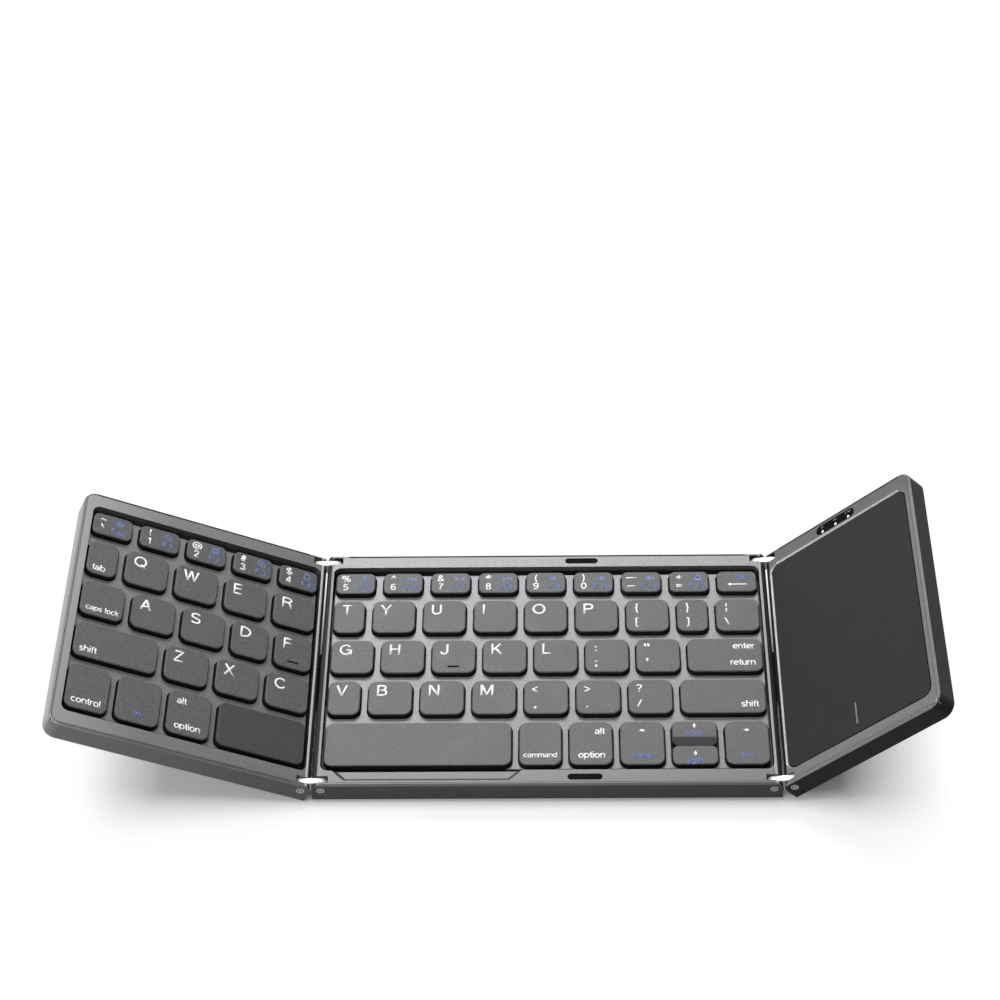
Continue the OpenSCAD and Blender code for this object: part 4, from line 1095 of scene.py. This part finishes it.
def paired_key(upper, lower):
    """A key with one sign above another."""
    def draw(ink, cap):
        sizes = settings("sizes")
        for text, depth in ((upper, 3.6), (lower, 9.8)):
            weight = 0.25 if text in ":;,.\"'" else 0.165
            ink.word(
                text, cap.left + sizes.margin + 1.0 * MM, cap.back - depth * MM, cap.top, 3.1 * MM, "CENTER",
                weight=weight)
    return draw


def number_key(upper, lower, function=None, sign=None):
    """A number key, with its function number and small sign on the right."""
    def draw(ink, cap):
        sizes = settings("sizes")
        for text, depth in ((upper, 2.5), (lower, 6.2)):
            ink.word(
                text, cap.left + 3.4 * MM, cap.back - depth * MM, cap.top, sizes.figure, "CENTER", weight=0.18)
        if function:
            right = cap.left + (9.1 if function == "Esc" else 9.8) * MM
            ink.word(
                function, right, cap.back - 6.6 * MM, cap.top, sizes.small_word * 1.08, "CENTER", SECOND,
                stretch=1.3)
            sign(ink, right, cap.back - 2.8 * MM, cap.top)
    return draw


def word_key(text, depth, align="LEFT", inset=2.4, ink_index=FIRST, second=None, second_depth=0.0, scale=1.0):
    """A key with one or two words, each set against a side of the cap."""
    def draw(ink, cap):
        sizes = settings("sizes")
        x = {"LEFT": cap.left + inset * MM, "RIGHT": cap.right - inset * MM, "CENTER": cap.middle}[align]
        size = scale * (sizes.word if ink_index == FIRST else sizes.small_word)
        ink.word(text, x, cap.back - depth * MM, cap.top, size, align, ink_index)
        if second:
            ink.word(second, x, cap.back - second_depth * MM, cap.top, size, align, ink_index)
    return draw


def arrow_key(angle, text, arrow_depth, text_depth):
    def draw(ink, cap):
        sizes = settings("sizes")
        ink.arrow(cap.middle, cap.back - arrow_depth * MM, cap.top, 1.9 * MM, angle)
        ink.word(
            text, cap.middle, cap.back - text_depth * MM, cap.top, sizes.small_word, "CENTER", SECOND,
            stretch=1.0)
    return draw


def backspace_key(ink, cap):
    sizes = settings("sizes")
    ink.arrow(cap.middle, cap.back - 5.9 * MM, cap.top, 6.6 * MM, WEST)
    ink.word("Del", cap.middle + 1.8 * MM, cap.back - 2.4 * MM, cap.top, sizes.small_word, "CENTER", SECOND)


def blank_key(ink, cap):
    """A key with no legend"""


LEGENDS = {
    "left_number_keys": [
        number_key("~", "`", "Esc", sign_home), number_key("!", "1", "F1", sign_search),
        number_key("@", "2", "F2", sign_select), number_key("#", "3", "F3", sign_copy),
        number_key("$", "4", "F4", sign_paste)],
    "centre_number_keys": [
        number_key("%", "5", "F5", sign_cut), number_key("^", "6", "F6", sign_back),
        number_key("&", "7", "F7", sign_play), number_key("*", "8", "F8", sign_next),
        number_key("(", "9", "F9", sign_speaker(0)), number_key(")", "0", "F10", sign_speaker(1)),
        number_key("_", "-", "F11", sign_speaker(2)), number_key("+", "=", "F12", sign_lock)],
    "key_backspace": [backspace_key],
    "key_tab": [word_key("tab", 11.2, inset=2.0)],
    "left_upper_keys": [letter_key(text) for text in "QWER"],
    "centre_upper_keys": [letter_key(text) for text in "TYUIOP"] + [
        paired_key("{", "["), paired_key("}", "]"), paired_key("|", "\\")],
    "key_caps_lock": [word_key("caps lock", 10.9, inset=2.0, scale=0.84)],
    "left_home_keys": [letter_key(text) for text in "ASDF"],
    "centre_home_keys": [letter_key(text) for text in "GHJKL"] + [paired_key(":", ";"), paired_key('"', "'")],
    "key_enter": [word_key("enter", 3.1, "RIGHT", second="return", second_depth=10.1)],
    "key_shift_left": [word_key("shift", 10.7, inset=2.1)],
    "left_lower_keys": [letter_key(text) for text in "ZXC"],
    "centre_lower_keys": [letter_key(text) for text in "VBNM"] + [
        paired_key("<", ","), paired_key(">", "."), paired_key("?", "/")],
    "key_shift_right": [word_key("shift", 10.2, "RIGHT")],
    "left_modifier_keys": [
        word_key("control", 13.8, inset=2.1), word_key("fn", 13.6, "CENTER", ink_index=SECOND, scale=1.15),
        word_key("alt", 4.0, inset=2.7, second="option", second_depth=13.8)],
    "key_space_left": [blank_key],
    "key_space_right": [blank_key],
    "centre_modifier_keys": [
        word_key("command", 13.3, "CENTER", scale=0.78), word_key("alt", 3.8, "RIGHT", second="option", second_depth=13.3)],
    "key_left": [arrow_key(WEST, "home", 3.6, 13.6)],
    "key_up": [arrow_key(NORTH, "pgup", 1.7, 4.4)],
    "key_down": [arrow_key(SOUTH, "pgdn", 3.2, 5.9)],
    "key_right": [arrow_key(EAST, "end", 3.6, 13.5)],
}


# The thumb scoop: its distance in from the space bar's left and right end, its reach from the key opening
# and the length of its slope, as the solid has it and as the photograph shows it
SCOOP_BUILT = (4.5, 4.5, 3.2, 1.7)
SCOOP_SEEN = (6.9, 0.5, 4.0, 1.3)
SCOOP_DEPTH = 1.0
OPENING_IN = 5.9


def scoop_corners(from_left, from_right, reach, slope):
    """The corners of the scoop's edge and of its floor, in metres."""
    bar = caps_of("key_space_right")[0]
    low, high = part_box("centre_case")
    opening = low.y + OPENING_IN * MM
    corners = []
    for end, side in ((bar.left + from_left * MM, -1), (bar.right - from_right * MM, 1)):
        for along, out, down in (
                (0, reach, 0), (reach, 0, 0),
                (-slope * math.tan(math.pi / 8), reach - slope, SCOOP_DEPTH),
                (reach - slope * math.sqrt(2), 0, SCOOP_DEPTH)):
            corners.append(Vector((end + side * along * MM, opening - out * MM, high.z - down * MM)))
    return corners


def open_scoop(model):
    """Moves the scoop's corners from where the solid has them to where the photograph shows them."""
    moves = list(zip(scoop_corners(*SCOOP_BUILT), scoop_corners(*SCOOP_SEEN)))
    for built, seen in moves:
        near = [vertex for vertex in model.verts if (vertex.co - built).length < 0.05 * MM]
        if not near:
            raise RuntimeError("a corner of the scoop isn't where it was")
        for vertex in near:
            vertex.co = seen


# The right frame's strip along the hinge ends where the opening's bevel begins
STRIP_IN = 2.66 * MM


def is_scoop_slope(middle, normal):
    return 0.2 < normal.z < 0.97 and middle.y < -0.04


def is_pad_bevel(middle, normal):
    return 0.2 < normal.z < 0.97


def is_hinge_bevel(middle, normal):
    """The part of the touchpad opening's bevel that lies along the hinge."""
    return is_pad_bevel(middle, normal) and normal.x > 0.3 and middle.x > STRIP_IN


def is_hinge_strip(middle, normal):
    """The narrow strip between the roll and the touchpad's opening."""
    return normal.z >= 0.97 and middle.x < STRIP_IN


def part_strip(model):
    """Cuts the right frame's top where the strip along the hinge ends."""
    section = SECTIONS["right_wing"]
    bmesh.ops.bisect_plane(
        model, geom=model.verts[:] + model.edges[:] + model.faces[:], plane_co=section @ Vector((STRIP_IN, 0, 0)),
        plane_no=section.to_3x3() @ Vector((1, 0, 0)))


# Operators


# The casings' upper bevel and free corners, and how far the link plates' slots reach in from a hinge end
TOP_BEVEL = 0.6 * MM
CORNER = 4.5 * MM
LINK_PLATE_REACH = 7.4 * MM


class KEYBOARD_OT_metalwork(bpy.types.Operator):
    """Casings, top frames and lattices with broken edges"""

    bl_idname = "keyboard.metalwork"
    bl_label = "Metalwork"

    def execute(self, context):
        width = settings("sizes").metal_edge
        half = joint("right_link_fold")["pos_m"][0] + AXIS_IN
        for section, ends in (("centre", (-half, half)), ("left", (0,)), ("right", (0,))):
            # The rolls: painted shade
            roll = "centre_roll" if section == "centre" else "wing_roll"
            # The edges above the rolls: painted highlight, on the right wing painted shade
            edge = section + "_edge"
            rolled = ((roll, is_rolled(ROLL_LEAN, *ends)), (edge, is_rolled(ROLL_EDGE_LEAN, *ends)))
            # Side walls: painted shade
            walls = (section + "_side", is_front_or_back if section == "left" else is_casing_wall)
            # The left wing's free end: painted light
            free_end = (("left_end", is_left_end),) if section == "left" else ()
            # The tops: painted light and shade along one axis
            base = finish_for(section + "_top")
            soften(section + "_case", "casing", width, finish=base, others=(*rolled, walls, *free_end))
            if section == "centre":
                # The scoop's slope gets the centre's painted shade
                soften("centre_frame", "top_frame", width, finish=base, reshape=open_scoop, others=(
                    *rolled, ("centre_side", is_scoop_slope)))
            elif section == "right":
                # The touchpad opening's bevels: painted highlights; the strip along the hinge: painted shade
                soften("right_frame", "top_frame", width, finish=base, reshape=part_strip, others=(
                    ("hinge_bevel", is_hinge_bevel), ("right_edge", is_hinge_strip), *rolled,
                    ("bright_bevel", is_pad_bevel)))
            else:
                soften("left_frame", "top_frame", width, finish=base, others=rolled)
            self.paint_shadow_line(section)
        for node in ("centre_lattice", "left_lattice"):
            soften(node, "lattice", width)
        return {"FINISHED"}

    @staticmethod
    def paint_shadow_line(section):
        """The painted shadow line inside a casing's upper edge: all round the left wing, and along the back elsewhere.
        """
        case = caps_of(section + "_case")
        left, right = min(cap.left for cap in case), max(cap.right for cap in case)
        wide, fine = settings("sizes").rim_line, settings("sizes").fine_rim_line
        edge = max(cap.back for cap in case) - TOP_BEVEL
        top = max(cap.top for cap in case)
        start = left + (LINK_PLATE_REACH if section == "centre" else 0 if section == "right" else CORNER)
        end = right - (CORNER if section == "right" else LINK_PLATE_REACH)
        if section == "right":
            start += LINK_PLATE_REACH
        ink = Print()
        ink.line([(start, edge - wide / 2), (end, edge - wide / 2)], top, wide)
        if section == "left":
            radius = CORNER - TOP_BEVEL - fine / 2
            middle_x, middle_y = left + CORNER, edge - fine / 2 - radius
            ink.line([
                *turn_round(middle_x, middle_y, radius, 90, 180), *turn_round(middle_x, -middle_y, radius, 180, 270),
                (-LINK_PLATE_REACH, fine / 2 - edge)], top, fine)
        name = section if section == "centre" else section + "_wing"
        ink.finish(section + "_rim_line", SECTIONS[name], name, "casing", ("rim_line",))


class KEYBOARD_OT_keys(bpy.types.Operator):
    """Key caps with rounded edges and printed legends"""

    bl_idname = "keyboard.keys"
    bl_label = "Keys"

    def execute(self, context):
        for node, draws in LEGENDS.items():
            caps = caps_of(node)
            if len(caps) != len(draws):
                raise RuntimeError(f"{node} has {len(caps)} caps and {len(draws)} legends")
            top = min(cap.top for cap in caps)
            # Painted shade: the caps' side walls and the up key's slope painted darker, the home keys' marks near
            # black, the left space bar darker
            others = [("inlay", is_above(top)), ("key_side", is_wall)]
            if node == "key_up":
                others.append(("key_slope", is_slope))
            finish = finish_for("shaded_key" if node == "key_space_left" else "keys")
            soften(node, "keys", settings("sizes").cap_edge, 3, finish, others)
            ink = Print()
            for cap, draw in zip(caps, draws):
                cap.top = top
                draw(ink, cap)
            if ink.model.faces:
                ink.finish(node + "_legends", section_of(node), body_of(node))
        return {"FINISHED"}


class KEYBOARD_OT_touchpad(bpy.types.Operator):
    """Touchpad with the line between its two halves"""

    bl_idname = "keyboard.touchpad"
    bl_label = "Touchpad"

    def execute(self, context):
        soften("touchpad", "touchpad", settings("sizes").fine_edge)
        pad = caps_of("touchpad")[0]
        ink = Print()
        ink.bar(31.9 * MM, -36.0 * MM, pad.top, 0.6 * MM, 8.2 * MM)
        ink.finish("touchpad_line", SECTIONS["right_wing"], "touchpad", "touchpad", ("pad_line",))
        dress("sensor_board", "circuit_board")
        return {"FINISHED"}


class KEYBOARD_OT_hinges(bpy.types.Operator):
    """Link plates, pivot screws and the flat cables through the hinges"""

    bl_idname = "keyboard.hinges"
    bl_label = "Hinges"

    def execute(self, context):
        width = settings("sizes").fine_edge
        for side in ("left", "right"):
            for place in ("front", "back"):
                soften(f"{side}_link_{place}", "link_metal", width)
            self.bend_cable(side)
        for section in ("centre", "left", "right"):
            node = f"{section}_pivot_screws"
            soften(node, "link_metal", width, finish=finish_for("screw_metal"))
            # Painted highlights on the screw heads
            self.paint_screw_highlights(node)
        return {"FINISHED"}

    @staticmethod
    def paint_screw_highlights(node):
        """A painted highlight on the edge of each screw's head and on the cross in it, on the wall that it sits in."""
        screw_highlights = Print()
        for screw in caps_of(node):
            rim = Print()
            radius = (screw.right - screw.left) / 2
            rim.ring(0, 0, 0, radius - 0.2 * MM, 0.22 * MM, sides=20)
            for angle in (30, 120):
                rim.bar(0, 0, 0, 1.1 * MM, 0.2 * MM, angle=math.radians(angle))
            in_front = screw.front < 0
            face = screw.front if in_front else screw.back
            stand = Matrix.Rotation(math.pi / 2 if in_front else -math.pi / 2, 4, "X")
            data = to_mesh(rim.model, "rim")
            screw_highlights.add(data, Matrix.Translation((screw.middle, face, screw.top - radius)) @ stand, FIRST)
            bpy.data.meshes.remove(data)
        screw_highlights.finish(node + "_rims", section_of(node), body_of(node), "link_metal", ("link_metal",))

    @staticmethod
    def bend_cable(side):
        """Cuts the cable across the link's middle into two halves."""
        node = f"{side}_ribbon"
        inner = Vector(joint(f"{side}_link_fold")["pos_m"])
        outer = Vector(joint(f"{side}_wing_fold")["pos_m"])
        middle = (inner + outer) / 2
        away = (outer - inner).normalized()
        reach = (outer - inner).length / 2
        halves = (
            ("inner", away, "centre", f"{side}_link", middle - away * reach * 2, middle),
            ("outer", -away, f"{side}_link", f"{side}_wing", middle, middle + away * reach * 2))
        for name, normal, first, second, start, end in halves:
            half = merged_copy(node)
            cut = bmesh.ops.bisect_plane(
                half, geom=half.verts[:] + half.edges[:] + half.faces[:], plane_co=middle, plane_no=normal,
                clear_outer=True)["geom_cut"]
            bmesh.ops.holes_fill(half, edges=[item for item in cut if isinstance(item, bmesh.types.BMEdge)])
            bmesh.ops.recalc_face_normals(half, faces=half.faces)
            piece_name = f"{side}_cable_{name}"
            piece = add_piece(piece_name, to_mesh(half, piece_name), None, "black_plastic", finish_for("ribbon"))
            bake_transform(piece)
            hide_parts(node)


class KEYBOARD_OT_fittings(bpy.types.Operator):
    """Feet, magnets, socket, switch, window and lamps, with the words beside the switch"""

    bl_idname = "keyboard.fittings"
    bl_label = "Fittings"

    def execute(self, context):
        width = settings("sizes").fine_edge
        for section in ("centre", "left", "right"):
            soften(f"{section}_feet", "rubber", width * 2, 3)
        soften("centre_magnets", "inlay", width)
        soften("socket_shell", "socket_metal", width)
        soften("switch_slider", "black_plastic", width)
        soften("indicator_window", "black_plastic", width, 2, finish_for("inlay"))
        dress("socket_tongue", "black_plastic")
        dress("switch_body", "black_plastic")
        dress("indicator_lamps", "lamp")
        self.mark_window()
        self.mark_switch()
        return {"FINISHED"}

    @staticmethod
    def mark_window():
        """A small sign above each lamp."""
        window = caps_of("indicator_window")[0]
        y = (window.front + window.back) / 2 + 1.0 * MM
        ink = Print()
        ink.ring(window.middle - 5.55 * MM, y, window.top, 0.35 * MM, 0.25 * MM)
        ink.bar(window.middle, y, window.top, 1.3 * MM, 0.45 * MM)
        ink.bar(window.middle + 6.1 * MM, y, window.top, 1.4 * MM, 0.45 * MM)
        ink.ring(window.middle + 4.6 * MM, y, window.top, 0.25 * MM, 0.2 * MM)
        ink.finish("window_signs", SECTIONS["right_wing"], "right_wing", "black_plastic", ("pad_line",))

    @staticmethod
    def mark_switch():
        """The words on and off, one at each end of the switch's travel, on the back wall."""
        low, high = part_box("switch_slider")
        middle = SECTIONS["right_wing"].inverted() @ ((low + high) / 2)
        back = caps_of("right_case")[0].back
        facing_back = Matrix.Rotation(math.pi, 4, "Z") @ Matrix.Rotation(math.pi / 2, 4, "X")
        ink = Print()
        for text, shift in (("OFF", -6.4), ("ON", 8.4)):
            ink.word(text, middle.x + shift * MM, back, middle.z, 1.5 * MM, "CENTER", FIRST, facing_back)
        ink.finish("switch_words", SECTIONS["right_wing"], "right_wing", "casing", ("pad_line",))


class KEYBOARD_OT_inside(bpy.types.Operator):
    """Domes under the keys, and boards and battery, which stay as the solids have them"""

    bl_idname = "keyboard.inside"
    bl_label = "Inside"

    def execute(self, context):
        finishes = {
            "centre_key_board": "board", "left_key_board": "board", "main_board": "circuit_board",
            "battery": "battery_foil"}
        for node, finish in finishes.items():
            dress(node, finish)
        for node in LEGENDS:
            self.seat_domes(node)
        return {"FINISHED"}

    @staticmethod
    def seat_domes(keys):
        """Keeps the domes that stand under one key node, between their board and the caps."""
        body = body_of(keys)
        carrier = nearest_section(body)
        section = SECTIONS[carrier]
        node = carrier.removesuffix("_wing") + "_domes"
        domes = merged_copy(node)
        domes.transform(section.inverted())
        caps = caps_of(keys)
        elsewhere = [vertex for vertex in domes.verts if not any(cap.covers(vertex.co) for cap in caps)]
        bmesh.ops.delete(domes, geom=elsewhere, context="VERTS")
        domes.transform(section)
        piece = add_piece(keys + "_domes", to_mesh(domes, keys + "_domes"), None, "dome_rubber")
        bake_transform(piece)
        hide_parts(node)


# The floor is white to the eye and in reflections, and throws back less light than it shows.
# Near the object it is lit, so that it takes the shadow, and further out it is plain white.
FLOOR_WHITE = (1.0, 1.0, 1.0)
FLOOR_GREY = (0.3, 0.3, 0.3)
GLOW_REACH = 0.035


def seen_rays(paint):
    """1 for what the camera sees, also by reflection or through glass, and 0 for the light that lands elsewhere."""
    rays = [paint.node("ShaderNodeLightPath", output=f"Is {kind} Ray") for kind in ("Camera", "Glossy", "Transmission")]
    return rays[0] + rays[1] + rays[2]


class KEYBOARD_OT_stage(bpy.types.Operator):
    """White floor, soft lamps and the photograph's camera"""

    bl_idname = "keyboard.stage"
    bl_label = "Stage"

    def execute(self, context):
        self.lay_floor()
        self.light()
        self.place_camera(context.scene)
        context.scene.view_settings.view_transform = "Standard"
        return {"FINISHED"}

    @staticmethod
    def lay_floor():
        model = bmesh.new()
        half = settings("sizes").floor / 2
        bmesh.ops.create_grid(model, x_segments=2, y_segments=2, size=half)
        bmesh.ops.translate(model, vec=(0, 0, CAD_BOX[0].z), verts=model.verts)
        floor = bpy.data.objects.new("floor", to_mesh(model, "floor"))
        bpy.context.scene.collection.objects.link(floor)
        paint = Paint("floor_white")
        seen = seen_rays(paint)
        tone = paint.mixed(FLOOR_GREY, FLOOR_WHITE, seen)
        lit = paint.node("ShaderNodeBsdfDiffuse", {}, {"Color": tone})
        plain = paint.node("ShaderNodeEmission", {}, {"Color": (1, 1, 1, 1), "Strength": 1.0})
        spot = paint.node("ShaderNodeTexCoord", output="Object")
        away = 0
        for axis, low, high in (("X", -0.125, 0.095), ("Y", -0.045, 0.01)):
            place = paint.node("ShaderNodeSeparateXYZ", {}, {0: spot}, output=axis)
            off_middle = paint.node("ShaderNodeMath", {"operation": "ABSOLUTE"}, {0: place - (low + high) / 2})
            outside = paint.node("ShaderNodeMath", {"operation": "MAXIMUM"}, {0: off_middle - (high - low) / 2, 1: 0})
            away = outside * outside + away
        far = paint.node("ShaderNodeMapRange", {"clamp": True}, {"Value": away ** 0.5, "From Max": GLOW_REACH})
        surface = paint.node("ShaderNodeMixShader", {}, {0: far * seen, 1: lit, 2: plain})
        paint.node("ShaderNodeOutputMaterial", {}, {"Surface": surface})
        floor.data.materials.append(paint.material)

    @staticmethod
    def light():
        studio = settings("studio")
        world = bpy.data.worlds.new("studio")
        bpy.context.scene.world = world
        world.use_nodes = True
        paint = Paint.of_tree(world.node_tree)
        way = paint.node("ShaderNodeTexCoord", output="Generated")
        height = paint.node("ShaderNodeSeparateXYZ", {}, {0: way}, output="Z")
        backdrop = paint.node(
            "ShaderNodeMapRange", {"clamp": True},
            {"Value": height, "From Min": 0.15, "From Max": 0.55, "To Min": 1.0, "To Max": studio.backdrop})
        strength = studio.sky + seen_rays(paint) * (backdrop - studio.sky)
        sky = paint.node("ShaderNodeBackground", {}, {"Color": (1, 1, 1, 1), "Strength": strength})
        paint.node("ShaderNodeOutputWorld", {}, {"Surface": sky})
        lamps = (
            ("back_lamp", studio.back_lamp, Vector((-0.2, 1.03, 1.0)), 0.8, 0.5),
            ("high_lamp", studio.high_lamp, Vector((-0.4, 0.12, 1.48)), 0.9, 0.9),
            ("low_lamp", studio.low_lamp, Vector((-0.7, -0.33, 0.2)), 0.2, 0.2),
            ("side_lamp", studio.side_lamp, Vector((0.185, 0.573, 0.535)), 0.2, 0.15),
            ("front_lamp", studio.front_lamp, Vector((-0.3, -0.95, 1.05)), 0.3, 0.3))
        for name, power, place, wide, tall in lamps:
            lamp = bpy.data.lights.new(name, "AREA")
            lamp.shape = "RECTANGLE"
            lamp.size = wide
            lamp.size_y = tall
            lamp.energy = power
            holder = bpy.data.objects.new(name, lamp)
            holder.location = place
            holder.rotation_euler = (-place).to_track_quat("-Z", "Y").to_euler()
            bpy.context.scene.collection.objects.link(holder)

    @staticmethod
    def place_camera(scene):
        azimuth, elevation = CAMERA_AZIMUTH, CAMERA_ELEVATION
        back = Vector((
            math.sin(azimuth) * math.cos(elevation), -math.cos(azimuth) * math.cos(elevation), math.sin(elevation)))
        right = Vector((0, 0, 1)).cross(back).normalized()
        turn = Matrix((right, back.cross(right), back)).transposed() @ Matrix.Rotation(CAMERA_ROLL, 3, "Z")
        lens = bpy.data.cameras.new("camera")
        lens.sensor_width = SENSOR_WIDTH
        lens.lens = CAMERA_FOCUS / PICTURE_WIDTH * SENSOR_WIDTH
        lens.clip_start = 0.01
        lens.clip_end = 50
        camera = bpy.data.objects.new("camera", lens)
        camera.matrix_world = Matrix.Translation(CAMERA_PLACE) @ turn.to_4x4()
        scene.collection.objects.link(camera)
        scene.camera = camera


OPERATORS = (
    KEYBOARD_OT_stage, KEYBOARD_OT_metalwork, KEYBOARD_OT_keys, KEYBOARD_OT_touchpad, KEYBOARD_OT_hinges,
    KEYBOARD_OT_fittings, KEYBOARD_OT_inside)


class KEYBOARD_PT_sidebar(bpy.types.Panel):
    """Sizes, colours and steps of the folding keyboard"""

    bl_idname = "KEYBOARD_PT_sidebar"
    bl_label = "Folding keyboard"
    bl_space_type = "VIEW_3D"
    bl_region_type = "UI"
    bl_category = "Keyboard"

    def draw(self, context):
        for group, kind in SETTINGS.items():
            for name in kind.__annotations__:
                self.layout.prop(settings(group), name)
        for operator in OPERATORS:
            self.layout.operator(operator.bl_idname)


def register():
    for group, kind in SETTINGS.items():
        bpy.utils.register_class(kind)
        setattr(bpy.types.Scene, "folding_keyboard_" + group, PointerProperty(type=kind))
    for kind in (*OPERATORS, KEYBOARD_PT_sidebar):
        bpy.utils.register_class(kind)


def unregister():
    for kind in (KEYBOARD_PT_sidebar, *reversed(OPERATORS)):
        bpy.utils.unregister_class(kind)
    for group, kind in SETTINGS.items():
        delattr(bpy.types.Scene, "folding_keyboard_" + group)
        bpy.utils.unregister_class(kind)


def main():
    register()
    for step in ("stage", "metalwork", "keys", "touchpad", "hinges", "fittings", "inside"):
        getattr(bpy.ops.keyboard, step)()


if __name__ == "__main__":
    main()
